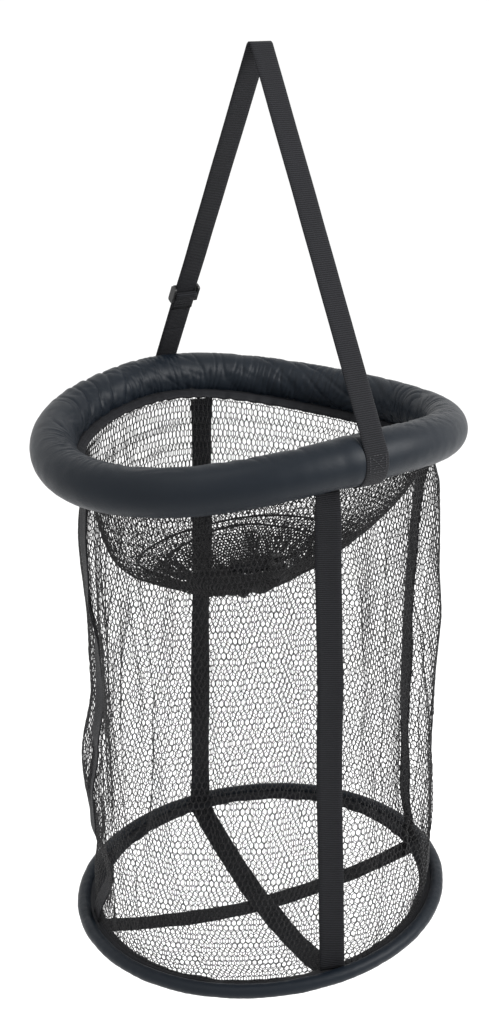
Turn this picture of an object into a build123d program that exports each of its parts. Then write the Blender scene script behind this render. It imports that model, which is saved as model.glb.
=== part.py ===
from build123d import *
import math
import os

# Hanging keep net: a padded float ring, a net body with four side webbings, a weighted base
# ring, a drawcord collar inside the mouth and a carrying strap with an adjusting slider.
# Millimetres. The origin is the hang point, under the fold at the top of the strap, so the
# whole net hangs below it. +Z is up, and the strap lies in the XZ plane.

# ---- driving dimensions ---------------------------------------------------------------

# Float ring: a foam tube bent into an oval, drawn in and lifted a little at the two straps.
FLOAT_CENTRE = (3.0, -9.0, -381.0)
FLOAT_RADIUS = 197.0
FLOAT_OVAL = 0.068
FLOAT_LIFT = 14.7
FLOAT_AXIS_AZIMUTH = 6.7
FLOAT_TUBE_RADIUS = 24.0
COVER_THICKNESS = 1.0
FOAM_CLEARANCE = 0.2
FOAM_JOINT_AZIMUTH = 24.0
JOINT_GAP = 0.5
DOWEL_RADIUS = 7.0
DOWEL_HALF_LENGTH = 28.0
DOWEL_CLEARANCE = 0.15
COVER_JOINT_AZIMUTH = -2.8
COVER_BAND_LENGTH = 9.0

# Seam binding: the cover's sewn edge, standing out of the tube's inner lower side.
SEAM_ANGLE = 225.0
SEAM_THICKNESS = 2.4
SEAM_REACH = 34.0
SEAM_SLIT = 3.6

# Base ring: a steel wire in a hose, in a sewn sleeve, hanging a little out of level.
BASE_CENTRE = (15.4, -3.4, -917.0)
BASE_RADIUS = 201.0
BASE_TILT = 4.6
BASE_HIGH_AZIMUTH = 68.3
WIRE_RADIUS = 2.5
FERRULE_RADIUS = 3.6
FERRULE_HALF_LENGTH = 22.0
HOSE_BORE_RADIUS = 3.9
HOSE_RADIUS = 6.4
SLEEVE_RADIUS = 7.5
SLEEVE_THICKNESS = 0.9
WIRE_JOINT_AZIMUTH = 205.0
BINDING_INNER_RADIUS = 181.0
BINDING_THICKNESS = 2.0
BASE_SAG = 26.0

# Netting and webbing.
NET_THICKNESS = 1.2
WEBBING_WIDTH = 25.0
WEBBING_THICKNESS = 1.6
LAYER_GAP = 0.4
SIDE_NAMES = ("front", "right", "back", "left")
WEBBING_TOP_AZIMUTHS = (-6.5, 71.7, 168.7, 256.2)
WEBBING_BASE_AZIMUTHS = (-8.5, 79.2, 171.2, 255.2)
NET_BASE_RADIUS = 187.0
WEBBING_BASE_RADIUS = 190.3

# Collar: a net bowl inside the mouth, drawn closed at its middle.
COLLAR_RIM_RADIUS = 172.0
COLLAR_DEPTH = 190.0
COLLAR_FOLD_RADIUS = 62.0
THROAT_OFFSET = (-24.0, 3.0)
THROAT_DEPTH = 166.0
THROAT_RADIUS = 20.0
HEM_RADIUS = 4.0
CORD_RADIUS = 1.25

# Cord lock: a ball with a sprung plunger, sitting on the two cord strands beside the throat.
LOCK_AZIMUTH = 67.2
LOCK_DISTANCE = 38.0
LOCK_BALL_RADIUS = 10.0
LOCK_BORE_RADIUS = 4.6
PLUNGER_RADIUS = 4.5
PLUNGER_TRAVEL = 3.0
STRAND_SPACING = 3.0
STRAND_CLEARANCE = 0.35
LEAD_REACH = 61.4
EYELET_BEND = 4.0
SPRING_WIRE_RADIUS = 0.35
SPRING_TURNS = 4.0

# Strap: one webbing over the hook and down both sides, with a tri-glide on the back leg.
FOLD_INNER_RADIUS = 3.0
WRAP_INNER_RADIUS = 25.0
WRAP_END_ANGLE = -128.0
SWING_CLEARANCE = 0.9
FLEX_REACH = 13.4
SLIDER_CENTRE_DROP = 269.0
SLIDER_WIDTH = 31.5
SLIDER_LENGTH = 19.0
SLIDER_BAR = 3.0
TAB_THICKNESS = 1.4
TAB_GAP = 0.2
TAB_SEAM_LENGTH = 14.0

# Stitching: raised bars of thread, boxed and crossed where two webbings are sewn together.
STITCH = (2.0, 0.6, 0.4)
STITCH_PITCH = 3.2
STRAP_BOX = (16.0, 18.0)
STRAP_BOX_SETBACK = 12.0
BASE_BOX = (19.0, 19.0)

os.makedirs("parts", exist_ok=True)


# ---- helpers --------------------------------------------------------------------------


def save(node, *solids):
    """Write one node as a STEP file, as one solid or as a group of separate solids."""
    shape = solids[0] if len(solids) == 1 else Compound(children=list(solids))
    export_step(shape, os.path.join("parts", node + ".step"))


def cos_deg(angle):
    return math.cos(math.radians(angle))


def sin_deg(angle):
    return math.sin(math.radians(angle))


def float_point(azimuth, radial=0.0, height=0.0):
    """A point beside the float tube's centreline, moved outwards and upwards."""
    wave = cos_deg(2.0 * (azimuth - FLOAT_AXIS_AZIMUTH))
    radius = FLOAT_RADIUS * (1.0 - FLOAT_OVAL * wave) + radial
    x, y, z = FLOAT_CENTRE
    x += radius * cos_deg(azimuth)
    y += radius * sin_deg(azimuth)
    return Vector(x, y, z + FLOAT_LIFT * wave + height)


BASE_SLOPE_X = math.tan(math.radians(BASE_TILT)) * cos_deg(BASE_HIGH_AZIMUTH)
BASE_SLOPE_Y = math.tan(math.radians(BASE_TILT)) * sin_deg(BASE_HIGH_AZIMUTH)
base_plane = Plane(origin=BASE_CENTRE, x_dir=(1, 0, BASE_SLOPE_X), z_dir=(-BASE_SLOPE_X, -BASE_SLOPE_Y, 1))


def base_point(azimuth, radius, height=0.0):
    """A point in the base ring's own tilted frame."""
    return base_plane.from_local_coords(Vector(radius * cos_deg(azimuth), radius * sin_deg(azimuth), height))


def azimuths(start, end, count):
    return [start + (end - start) * i / (count - 1) for i in range(count)]


def float_path(start, end, count=25):
    """The tube's centreline between two azimuths."""
    return Spline(*[float_point(a) for a in azimuths(start, end, count)])


def section_plane(path):
    """The plane across the start of a path, with its x axis outwards and its y axis up."""
    tangent = path % 0
    return Plane(origin=path @ 0, x_dir=tangent.cross(Vector(0, 0, 1)), z_dir=tangent)


def strip(edge_a, edge_b, thickness, outwards):
    """A ruled strip between two edges, thickened to the side that outwards points to."""
    face = Face.make_surface_from_curves(edge_a, edge_b)
    return Solid.thicken(face, thickness, normal_override=outwards)


# ---- float ring -----------------------------------------------------------------------

foam_radius = FLOAT_TUBE_RADIUS - COVER_THICKNESS - FOAM_CLEARANCE
gap_angle = math.degrees(JOINT_GAP / FLOAT_RADIUS)
dowel_angle = math.degrees(DOWEL_HALF_LENGTH / FLOAT_RADIUS)


def tube_section(path, outer, inner=0.0):
    section = Circle(outer) if inner == 0.0 else Circle(outer) - Circle(inner)
    return section_plane(path) * section


def make_foam_core():
    path = float_path(FOAM_JOINT_AZIMUTH + gap_angle, FOAM_JOINT_AZIMUTH + 360.0 - gap_angle)
    core = sweep(tube_section(path, foam_radius), path=path)
    socket_path = float_path(
        FOAM_JOINT_AZIMUTH - dowel_angle - gap_angle, FOAM_JOINT_AZIMUTH + dowel_angle + gap_angle, 5
    )
    return core - sweep(tube_section(socket_path, DOWEL_RADIUS + DOWEL_CLEARANCE), path=socket_path)


def make_core_dowel():
    path = float_path(FOAM_JOINT_AZIMUTH - dowel_angle, FOAM_JOINT_AZIMUTH + dowel_angle, 5)
    return sweep(tube_section(path, DOWEL_RADIUS), path=path)


def make_cover():
    path = float_path(COVER_JOINT_AZIMUTH + gap_angle, COVER_JOINT_AZIMUTH + 360.0 - gap_angle)
    slit = Rot(0, 0, SEAM_ANGLE) * (Pos(FLOAT_TUBE_RADIUS, 0) * Rectangle(8.0, SEAM_SLIT))
    section = Circle(FLOAT_TUBE_RADIUS) - Circle(FLOAT_TUBE_RADIUS - COVER_THICKNESS) - slit
    return sweep(section_plane(path) * section, path=path)


def make_cover_band():
    """The cover's overlapping end, a short sleeve sewn over the other end."""
    half = math.degrees(COVER_BAND_LENGTH / 2.0 / FLOAT_RADIUS)
    path = float_path(COVER_JOINT_AZIMUTH - half, COVER_JOINT_AZIMUTH + half, 5)
    inner = FLOAT_TUBE_RADIUS + 0.05
    slit = Rot(0, 0, SEAM_ANGLE) * (Pos(FLOAT_TUBE_RADIUS, 0) * Rectangle(8.0, SEAM_SLIT))
    section = Circle(inner + 0.7) - Circle(inner) - slit
    return sweep(section_plane(path) * section, path=path)


def make_seam_binding():
    """The sewn edge all round the ring, which holds the cover, the side net and the collar."""
    path = float_path(COVER_JOINT_AZIMUTH + gap_angle, COVER_JOINT_AZIMUTH + 360.0 - gap_angle)
    inner = FLOAT_TUBE_RADIUS - COVER_THICKNESS + 0.2
    blade = Pos((inner + SEAM_REACH) / 2.0, 0) * Rectangle(SEAM_REACH - inner, SEAM_THICKNESS)
    section = Rot(0, 0, SEAM_ANGLE) * blade
    return sweep(section_plane(path) * section, path=path)


save("float_foam_core", make_foam_core())
save("float_core_dowel", make_core_dowel())
save("float_cover", make_cover())
save("float_cover_band", make_cover_band())
save("float_seam_binding", make_seam_binding())

# ---- side net and side webbings -------------------------------------------------------

seam_radial = SEAM_REACH * cos_deg(SEAM_ANGLE)
seam_height = SEAM_REACH * sin_deg(SEAM_ANGLE)
NET_TOP_RADIAL = seam_radial + 1.8
NET_TOP_HEIGHT = seam_height - 2.4
PANEL_GAP_ANGLE = 0.15


def net_edges(start, end, count=9):
    top = Spline(*[float_point(a, NET_TOP_RADIAL, NET_TOP_HEIGHT) for a in azimuths(start, end, count)])
    height = BINDING_THICKNESS / 2.0 + 0.8
    bottom = Spline(*[base_point(a, NET_BASE_RADIUS, height) for a in azimuths(start, end, count)])
    return top, bottom


def outward_vector(azimuth):
    return Vector(cos_deg(azimuth), sin_deg(azimuth), 0)


def make_side_panel(index):
    """One net panel, from the middle of one webbing to the middle of the next."""
    start = WEBBING_TOP_AZIMUTHS[index] + PANEL_GAP_ANGLE
    end = WEBBING_TOP_AZIMUTHS[(index + 1) % 4] - PANEL_GAP_ANGLE
    if end < start:
        end += 360.0
    top, bottom = net_edges(start, end)
    return strip(top, bottom, NET_THICKNESS, outward_vector((start + end) / 2.0))


def make_side_webbing(index):
    """A flat webbing down the outside of the net, sewn over the joint of two panels."""
    top_azimuth = WEBBING_TOP_AZIMUTHS[index]
    base_azimuth = WEBBING_BASE_AZIMUTHS[index]
    out = NET_THICKNESS + LAYER_GAP + 0.3
    half_top = math.degrees(WEBBING_WIDTH / 2.0 / (FLOAT_RADIUS + NET_TOP_RADIAL))
    half_base = math.degrees(WEBBING_WIDTH / 2.0 / WEBBING_BASE_RADIUS)
    base_height = BINDING_THICKNESS / 2.0 + 0.8
    top = Spline(
        *[float_point(top_azimuth + d * half_top, NET_TOP_RADIAL + out, NET_TOP_HEIGHT) for d in (-1, 0, 1)]
    )
    bottom = Spline(
        *[base_point(base_azimuth + d * half_base, WEBBING_BASE_RADIUS, base_height) for d in (-1, 0, 1)]
    )
    return strip(top, bottom, WEBBING_THICKNESS, outward_vector(top_azimuth))


PANEL_NAMES = ("front_right", "back_right", "back_left", "front_left")
for i, name in enumerate(PANEL_NAMES):
    save("side_net_" + name, make_side_panel(i))
for i, name in enumerate(SIDE_NAMES):
    save("side_webbing_" + name, make_side_webbing(i))

# ---- base ring ------------------------------------------------------------------------


def base_arc(start, end):
    """The base ring's centreline between two azimuths, in its own flat frame."""
    return CenterArc((0, 0, 0), BASE_RADIUS, start, end - start)


def base_tube(start, end, outer, inner=0.0):
    path = base_arc(start, end)
    return base_plane * sweep(tube_section(path, outer, inner), path=path)


wire_gap = math.degrees(JOINT_GAP / BASE_RADIUS)
ferrule_angle = math.degrees(FERRULE_HALF_LENGTH / BASE_RADIUS)
joint_start = WIRE_JOINT_AZIMUTH + wire_gap
joint_end = WIRE_JOINT_AZIMUTH + 360.0 - wire_gap

save("base_ring_wire", base_tube(joint_start, joint_end, WIRE_RADIUS))
save(
    "base_ring_ferrule",
    base_tube(
        WIRE_JOINT_AZIMUTH - ferrule_angle,
        WIRE_JOINT_AZIMUTH + ferrule_angle,
        FERRULE_RADIUS,
        WIRE_RADIUS + 0.12,
    ),
)
save("base_ring_hose", base_tube(joint_start + 90.0, joint_end + 90.0, HOSE_RADIUS, HOSE_BORE_RADIUS))
save(
    "base_ring_sleeve",
    base_tube(joint_start + 180.0, joint_end + 180.0, SLEEVE_RADIUS, SLEEVE_RADIUS - SLEEVE_THICKNESS),
)


def dished_profile(inner, outer, top_height, thickness):
    """A thin profile that sags from the ring to the middle, as a closed face in the XZ plane."""
    middle = (inner + outer) / 2.0

    def sag(r):
        return top_height - BASE_SAG * (1.0 - (r / NET_BASE_RADIUS) ** 2)

    upper = ThreePointArc((inner, sag(inner)), (middle, sag(middle)), (outer, sag(outer)))
    lower = ThreePointArc(
        (inner, sag(inner) - thickness), (middle, sag(middle) - thickness), (outer, sag(outer) - thickness)
    )
    inner_end = Line((inner, sag(inner)), (inner, sag(inner) - thickness))
    outer_end = Line((outer, sag(outer)), (outer, sag(outer) - thickness))
    return Plane.XZ * make_face(Wire([upper, outer_end, lower, inner_end]))


def make_base_webbing(azimuth, layer):
    """A webbing across under the base net, from binding to binding."""
    top_height = -BINDING_THICKNESS / 2.0 - 0.6 - NET_THICKNESS - LAYER_GAP - layer * (WEBBING_THICKNESS + 0.3)
    profile = dished_profile(-WEBBING_BASE_RADIUS, WEBBING_BASE_RADIUS, top_height, WEBBING_THICKNESS)
    return base_plane * (Rot(0, 0, azimuth) * extrude(profile, WEBBING_WIDTH / 2.0, both=True))


binding = Circle(BASE_RADIUS - SLEEVE_RADIUS - 0.1) - Circle(BINDING_INNER_RADIUS)
save("base_ring_binding", base_plane * (Pos(0, 0, -BINDING_THICKNESS / 2.0) * extrude(binding, BINDING_THICKNESS)))
net_profile = dished_profile(0.0, NET_BASE_RADIUS, -BINDING_THICKNESS / 2.0 - 0.6, NET_THICKNESS)
save("base_net", base_plane * revolve(net_profile, axis=Axis.Z))
save("base_webbing_long", make_base_webbing((WEBBING_BASE_AZIMUTHS[0] + WEBBING_BASE_AZIMUTHS[2] - 180.0) / 2.0, 0))
save("base_webbing_cross", make_base_webbing((WEBBING_BASE_AZIMUTHS[1] + WEBBING_BASE_AZIMUTHS[3] - 180.0) / 2.0, 1))


# ---- collar ---------------------------------------------------------------------------

rim_radial = seam_radial - 1.8
rim_height = seam_height + 1.6
throat_x = FLOAT_CENTRE[0] + THROAT_OFFSET[0]
throat_y = FLOAT_CENTRE[1] + THROAT_OFFSET[1]
throat_z = FLOAT_CENTRE[2] - THROAT_DEPTH
collar_edge_radius = THROAT_RADIUS + HEM_RADIUS + 2.2
collar_edge_drop = 2.6


def bowl_height(radius):
    """The bowl's depth under the float ring's plane: steep at the rim and flat in the middle."""
    return -COLLAR_DEPTH + (COLLAR_DEPTH + rim_height) * (radius / COLLAR_RIM_RADIUS) ** 3


def collar_point(azimuth, share):
    """A point of the collar, from the rim (0) by the fold at the bottom to the throat (1)."""
    rim = float_point(azimuth, rim_radial, rim_height)
    edge = Vector(
        throat_x + collar_edge_radius * cos_deg(azimuth),
        throat_y + collar_edge_radius * sin_deg(azimuth),
        throat_z - collar_edge_drop,
    )
    fold_share = 0.7
    if share <= fold_share:
        s = share / fold_share
        radius = COLLAR_RIM_RADIUS + (COLLAR_FOLD_RADIUS - COLLAR_RIM_RADIUS) * s
        bowl = Vector(
            FLOAT_CENTRE[0] + radius * cos_deg(azimuth),
            FLOAT_CENTRE[1] + radius * sin_deg(azimuth),
            FLOAT_CENTRE[2] + bowl_height(radius),
        )
        rim_share = (1.0 - s) ** 2
        at_rim = Vector(
            FLOAT_CENTRE[0] + COLLAR_RIM_RADIUS * cos_deg(azimuth),
            FLOAT_CENTRE[1] + COLLAR_RIM_RADIUS * sin_deg(azimuth),
            FLOAT_CENTRE[2] + bowl_height(COLLAR_RIM_RADIUS),
        )
        return bowl + (rim - at_rim) * rim_share
    s = (share - fold_share) / (1.0 - fold_share)
    fold = collar_point(azimuth, fold_share)
    rise = s**6
    flat = fold + (edge - fold) * s
    return Vector(flat.X, flat.Y, fold.Z + (edge.Z - fold.Z) * rise)


def collar_normal(azimuth, share):
    """The collar's unit normal on its upper side."""
    step = 0.004
    low = max(share - step, 0.0)
    along = collar_point(azimuth, share + step if share < 1.0 else 1.0) - collar_point(azimuth, low)
    around = collar_point(azimuth + 0.5, share) - collar_point(azimuth - 0.5, share)
    return around.cross(along).normalized() * -1.0


def make_collar_gore(start, end):
    """One gore of the collar net, a curved shell from the rim to the throat."""
    shares = [i / 12.0 for i in range(13)]
    upper_rows = [[collar_point(a, s) for s in shares] for a in azimuths(start, end, 7)]
    lower_rows = [
        [collar_point(a, s) - collar_normal(a, s) * NET_THICKNESS for s in shares] for a in azimuths(start, end, 7)
    ]
    upper = Face.make_surface_from_array_of_points(upper_rows, tol=0.02)
    lower = Face.make_surface_from_array_of_points(lower_rows, tol=0.02)
    sides = []
    for edge in upper.edges():
        partner = min(lower.edges(), key=lambda other: (other @ 0.5 - edge @ 0.5).length)
        sides.append(Face.make_surface_from_curves(edge, partner))
    return Solid(Shell([upper, lower, *sides]))


GORES = 4
gore_gap = 0.3
collar_start = 43.2
gores = []
for i in range(GORES):
    first = collar_start + i * 360.0 / GORES
    gores.append(make_collar_gore(first + gore_gap, first + 360.0 / GORES - gore_gap))
save("collar_net", *gores)

throat_plane = Plane(origin=(throat_x, throat_y, throat_z), x_dir=(cos_deg(LOCK_AZIMUTH), sin_deg(LOCK_AZIMUTH), 0))


def make_collar_hem():
    """The sewn hem round the throat, a hollow ring with one eyelet slot for the cord's strands."""
    ring = Torus(THROAT_RADIUS, HEM_RADIUS) - Torus(THROAT_RADIUS, CORD_RADIUS + 0.5)
    slot_width = STRAND_SPACING + 2.0 * (EYELET_BEND + 1.0)
    slot = Pos(THROAT_RADIUS + HEM_RADIUS, 0, 0) * Box(2.0 * HEM_RADIUS, slot_width, 2.0 * CORD_RADIUS + 1.0)
    return throat_plane * (ring - slot)


def make_hem_cord():
    """The drawcord's run round inside the hem, with its two ends turned out to the lock."""
    half_gap = STRAND_SPACING / 2.0
    turn = math.degrees((half_gap + EYELET_BEND) / THROAT_RADIUS)
    start = Vector(THROAT_RADIUS * cos_deg(turn), THROAT_RADIUS * sin_deg(turn), 0)
    end = Vector(start.X, -start.Y, 0)
    round_path = CenterArc((0, 0, 0), THROAT_RADIUS, turn, 360.0 - 2.0 * turn)
    eyelet = Vector(THROAT_RADIUS + HEM_RADIUS + 1.0, half_gap, 0)
    eyelet_out = Vector(eyelet.X, -half_gap, 0)
    bend_in = Spline(eyelet, start, tangents=[(-1, 0, 0), round_path % 0])
    bend_out = Spline(end, eyelet_out, tangents=[round_path % 1, (1, 0, 0)])
    lead_in = Line((LEAD_REACH, half_gap, 0), eyelet)
    lead_out = Line(eyelet_out, (LEAD_REACH, -half_gap, 0))
    path = Wire([lead_in, bend_in, round_path, bend_out, lead_out])
    section = Plane(origin=path @ 0, z_dir=path % 0) * Circle(CORD_RADIUS)
    return throat_plane * sweep(section, path=path)


save("collar_hem", make_collar_hem())
save("drawcord_hem_run", make_hem_cord())

# ---- cord lock ------------------------------------------------------------------------

lock_plane = Plane(
    origin=throat_plane.from_local_coords(Vector(LOCK_DISTANCE, 0, 0)),
    x_dir=(cos_deg(LOCK_AZIMUTH), sin_deg(LOCK_AZIMUTH), 0),
)
slot_width = STRAND_SPACING + 2.0 * (CORD_RADIUS + STRAND_CLEARANCE)
slot_height = 2.0 * (CORD_RADIUS + STRAND_CLEARANCE)
bore_floor = -8.0
plunger_foot = -3.6
plunger_top = 12.6
head_radius = 6.2
head_bottom = 9.9 + PLUNGER_TRAVEL - 1.6


def make_lock_body():
    """A ball with a flat top, a blind bore for the plunger and a cross slot for the cord."""
    ball = Sphere(LOCK_BALL_RADIUS) & Pos(0, 0, -1.2) * Box(30, 30, 18.4)
    ball -= Pos(0, 0, bore_floor) * Cylinder(LOCK_BORE_RADIUS, 30, align=(Align.CENTER, Align.CENTER, Align.MIN))
    ball -= Box(30, slot_width, slot_height)
    return ball


def make_lock_plunger():
    """A plunger with a capped head, and a cross slot long enough for its travel."""
    stem = Pos(0, 0, plunger_foot) * Cylinder(
        PLUNGER_RADIUS, head_bottom - plunger_foot, align=(Align.CENTER, Align.CENTER, Align.MIN)
    )
    head = Pos(0, 0, head_bottom) * Cylinder(
        head_radius, plunger_top - head_bottom + 1.6, align=(Align.CENTER, Align.CENTER, Align.MIN)
    )
    head = fillet(head.edges().group_by(Axis.Z)[-1], 1.2)
    low = -CORD_RADIUS - 0.15
    high = CORD_RADIUS + 0.25 + PLUNGER_TRAVEL
    slot = Pos(0, 0, (low + high) / 2.0) * Box(30, slot_width, high - low)
    return stem + head - slot


def make_lock_spring():
    """The compression spring between the bore's floor and the plunger's foot."""
    low = bore_floor + SPRING_WIRE_RADIUS + 0.05
    high = plunger_foot - SPRING_WIRE_RADIUS - 0.05
    helix = Helix(pitch=(high - low) / SPRING_TURNS, height=high - low, radius=3.4)
    helix = Pos(0, 0, low) * helix
    section = Plane(origin=helix @ 0, z_dir=helix % 0) * Circle(SPRING_WIRE_RADIUS)
    return sweep(section, path=helix, is_frenet=True)


save("cord_lock_body", lock_plane * make_lock_body())
save("cord_lock_plunger", lock_plane * make_lock_plunger())
save("cord_lock_spring", lock_plane * make_lock_spring())

# ---- drawcord -------------------------------------------------------------------------

# The free loop: out of the lock, round the bowl to the loop's tip and back beside itself.
# The points are X, Y and the height over the float ring's plane.
LOOP_ROUTE = [
    (4.4, 50.5, -166.0),
    (15.0, 69.4, -167.6),
    (5.2, 88.6, -157.6),
    (-22.2, 91.1, -152.6),
    (-52.5, 82.4, -146.6),
    (-80.2, 65.8, -138.6),
    (-102.6, 36.6, -129.6),
    (-112.5, 1.6, -124.1),
    (-112.1, -35.5, -120.1),
    (-99.9, -69.6, -121.6),
    (-79.3, -97.8, -124.1),
    (-55.6, -115.8, -130.1),
    (-38.3, -118.2, -137.1),
    (-28.2, -108.3, -149.6),
    (-30.4, -94.4, -160.1),
    (-44.2, -85.6, -160.6),
    (-68.1, -76.7, -153.1),
    (-88.8, -48.4, -149.1),
    (-101.0, -13.5, -142.1),
    (-99.1, 20.9, -139.6),
    (-84.4, 46.3, -147.1),
    (-61.6, 61.4, -156.1),
    (-32.7, 74.1, -161.1),
    (-9.6, 74.2, -166.1),
    (6.3, 65.6, -168.6),
    (1.7, 51.6, -166.0),
]


def loop_radii(points):
    """Each corner's arc radius: 0.45 of the shorter run over the tangent of half the turn."""
    radii = []
    for before, here, after in zip(points, points[1:], points[2:]):
        turn = (here - before).get_angle(after - here)
        shorter = min((here - before).length, (after - here).length)
        radii.append(0.45 * shorter / math.tan(math.radians(turn) / 2.0))
    return radii


def make_drawcord_loop():
    points = [Vector(x, y, z + FLOAT_CENTRE[2]) for x, y, z in LOOP_ROUTE]
    radii = loop_radii(points)
    path = FilletPolyline(*points, radius=radii)
    tube = sweep(Plane(origin=path @ 0, z_dir=path % 0) * Circle(CORD_RADIUS), path=path)
    print("drawcord loop: length %.0f, smallest arc %.1f" % (path.length, min(radii)))
    print("volume share %.4f" % (tube.volume / (math.pi * CORD_RADIUS**2 * path.length)))
    print("arc radii", [round(r) for r in radii])
    return tube


save("drawcord_loop", make_drawcord_loop())

# ---- strap ----------------------------------------------------------------------------


class Leg:
    """One leg of the strap in the XZ plane, from the fold to where it wraps over the tube."""

    def __init__(self, side):
        self.side = side
        self.fold_centre = Vector(0, 0, -FOLD_INNER_RADIUS)
        self.fold_radius = FOLD_INNER_RADIUS + WEBBING_THICKNESS / 2.0
        self.wrap_radius = WRAP_INNER_RADIUS + WEBBING_THICKNESS / 2.0
        azimuth = math.degrees(math.asin(-FLOAT_CENTRE[1] / (FLOAT_RADIUS * (1.0 - FLOAT_OVAL))))
        self.azimuth = azimuth if side > 0 else 180.0 - azimuth
        self.tube_centre = float_point(self.azimuth)
        span = Vector(abs(self.tube_centre.X), 0, self.tube_centre.Z) - self.fold_centre
        lean = math.atan2(span.X, -span.Z) + math.asin((self.wrap_radius - self.fold_radius) / span.length)
        self.lean = math.degrees(lean)
        self.along = Vector(side * math.sin(lean), 0, -math.cos(lean))
        self.out = Vector(side * math.cos(lean), 0, math.sin(lean))
        self.top = self.fold_centre + self.out * self.fold_radius
        self.tangent = Vector(self.tube_centre.X, 0, self.tube_centre.Z) + self.out * self.wrap_radius
        self.swing_height = self.tube_centre.Z + WRAP_INNER_RADIUS + WEBBING_THICKNESS
        self.swing_height += WEBBING_WIDTH / 2.0 + SWING_CLEARANCE

    def at_height(self, z):
        """The point of the leg's middle line at a height."""
        return self.top + self.along * ((z - self.top.Z) / self.along.Z)

    def plane_at(self, point):
        """A plane with x down the leg, y across the webbing and z outwards."""
        return Plane(origin=point, x_dir=self.along, z_dir=self.out)


front_leg = Leg(1)
back_leg = Leg(-1)
SWING_HEIGHT = max(front_leg.swing_height, back_leg.swing_height)
print("swing axis at z %.1f" % SWING_HEIGHT)


def leg_slab(leg, start, end, low, high):
    """A flat piece along a leg between two points, between two distances from its middle line."""
    length = (end - start).length
    block = Box(length, WEBBING_WIDTH, high - low, align=(Align.MIN, Align.CENTER, Align.MIN))
    return leg.plane_at(start) * (Pos(0, 0, low) * block)


def ray(centre, inner, outer, angle):
    """A straight line along a radius, from one circle to another."""
    direction = (cos_deg(angle), sin_deg(angle))
    return Line(*[(centre[0] + r * direction[0], centre[1] + r * direction[1]) for r in (inner, outer)])


def make_strap_webbing():
    """The strap's upper length: the fold over the hook and both legs, down to the swing joint."""
    half = WEBBING_THICKNESS / 2.0
    legs = [
        leg_slab(leg, leg.top, leg.at_height(SWING_HEIGHT + FLEX_REACH), -half, half) for leg in (front_leg, back_leg)
    ]
    inner = FOLD_INNER_RADIUS
    outer = FOLD_INNER_RADIUS + WEBBING_THICKNESS
    turn = 180.0 - front_leg.lean - back_leg.lean
    fold_profile = make_face(
        Wire(
            [
                CenterArc((0, -inner), inner, front_leg.lean, turn),
                CenterArc((0, -inner), outer, front_leg.lean, turn),
                ray((0, -inner), inner, outer, front_leg.lean),
                ray((0, -inner), inner, outer, 180.0 - back_leg.lean),
            ]
        )
    )
    fold = extrude(Plane.XZ * fold_profile, WEBBING_WIDTH / 2.0, both=True)
    return fold + legs[0] + legs[1]


def make_flex(leg, layers):
    """The short stretch of webbing that bends as the strap swings over the ring."""
    start = leg.at_height(SWING_HEIGHT + FLEX_REACH - 0.3)
    end = leg.at_height(SWING_HEIGHT + 0.3)
    return [leg_slab(leg, start, end, low, high) for low, high in layers]


def make_strap_end(leg):
    """The strap's end, from the swing joint over the tube's outer side to the seam edge."""
    half = WEBBING_THICKNESS / 2.0
    straight = leg_slab(leg, leg.at_height(SWING_HEIGHT - 0.3), leg.tangent, -half, half)
    centre = (leg.tube_centre.X * leg.side, leg.tube_centre.Z)
    sweep_angle = leg.lean - WRAP_END_ANGLE
    outer = WRAP_INNER_RADIUS + WEBBING_THICKNESS

    wrap = make_face(
        Wire(
            [
                CenterArc(centre, WRAP_INNER_RADIUS, WRAP_END_ANGLE, sweep_angle),
                CenterArc(centre, outer, WRAP_END_ANGLE, sweep_angle),
                ray(centre, WRAP_INNER_RADIUS, outer, WRAP_END_ANGLE),
                ray(centre, WRAP_INNER_RADIUS, outer, leg.lean),
            ]
        )
    )
    solid = extrude(Plane.XZ * wrap, WEBBING_WIDTH / 2.0, both=True)
    if leg.side < 0:
        solid = mirror(solid, about=Plane.YZ)
    return straight + solid


half_webbing = WEBBING_THICKNESS / 2.0
tab_outer_layer = (-half_webbing - TAB_GAP - TAB_THICKNESS, -half_webbing - TAB_GAP)
save("strap_webbing", make_strap_webbing())
save("strap_flex_front", *make_flex(front_leg, [(-half_webbing, half_webbing)]))
save("strap_flex_back", *make_flex(back_leg, [(-half_webbing, half_webbing), tab_outer_layer]))
save("strap_end_front", make_strap_end(front_leg))
save("strap_end_back", make_strap_end(back_leg))

# ---- strap slider ---------------------------------------------------------------------

slider_plane = back_leg.plane_at(back_leg.at_height(-SLIDER_CENTRE_DROP))
bar_inner_face = tab_outer_layer[0] - TAB_GAP
bar_outer_face = bar_inner_face - SLIDER_BAR + 0.4
frame_face = half_webbing + 0.4


def rounded_bar(x, low, high, width):
    """A slider bar across the strap, with rounded long edges."""
    bar = Pos(x, 0, (low + high) / 2.0) * Box(width, SLIDER_WIDTH - 4.0, high - low)
    return fillet(bar.edges().filter_by(Axis.Y), 0.8)


def make_slider():
    """The tri-glide: two outer bars over the webbing, a middle bar under it and two side rails."""
    end_x = SLIDER_LENGTH / 2.0 - SLIDER_BAR / 2.0
    top = frame_face + SLIDER_BAR - 0.6
    bars = [rounded_bar(x, frame_face, top, SLIDER_BAR) for x in (-end_x, end_x)]
    bars.append(rounded_bar(0, bar_outer_face, bar_inner_face, SLIDER_BAR + 0.6))
    rails = []
    for side in (-1, 1):
        rail = Pos(0, side * (SLIDER_WIDTH / 2.0 - 1.3), (bar_outer_face + top) / 2.0) * Box(
            SLIDER_LENGTH, 2.6, top - bar_outer_face
        )
        rails.append(fillet(rail.edges().filter_by(Axis.Y), 2.2))
    slider = bars[0] + bars[1] + bars[2] + rails[0] + rails[1]
    return slider_plane * slider


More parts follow.
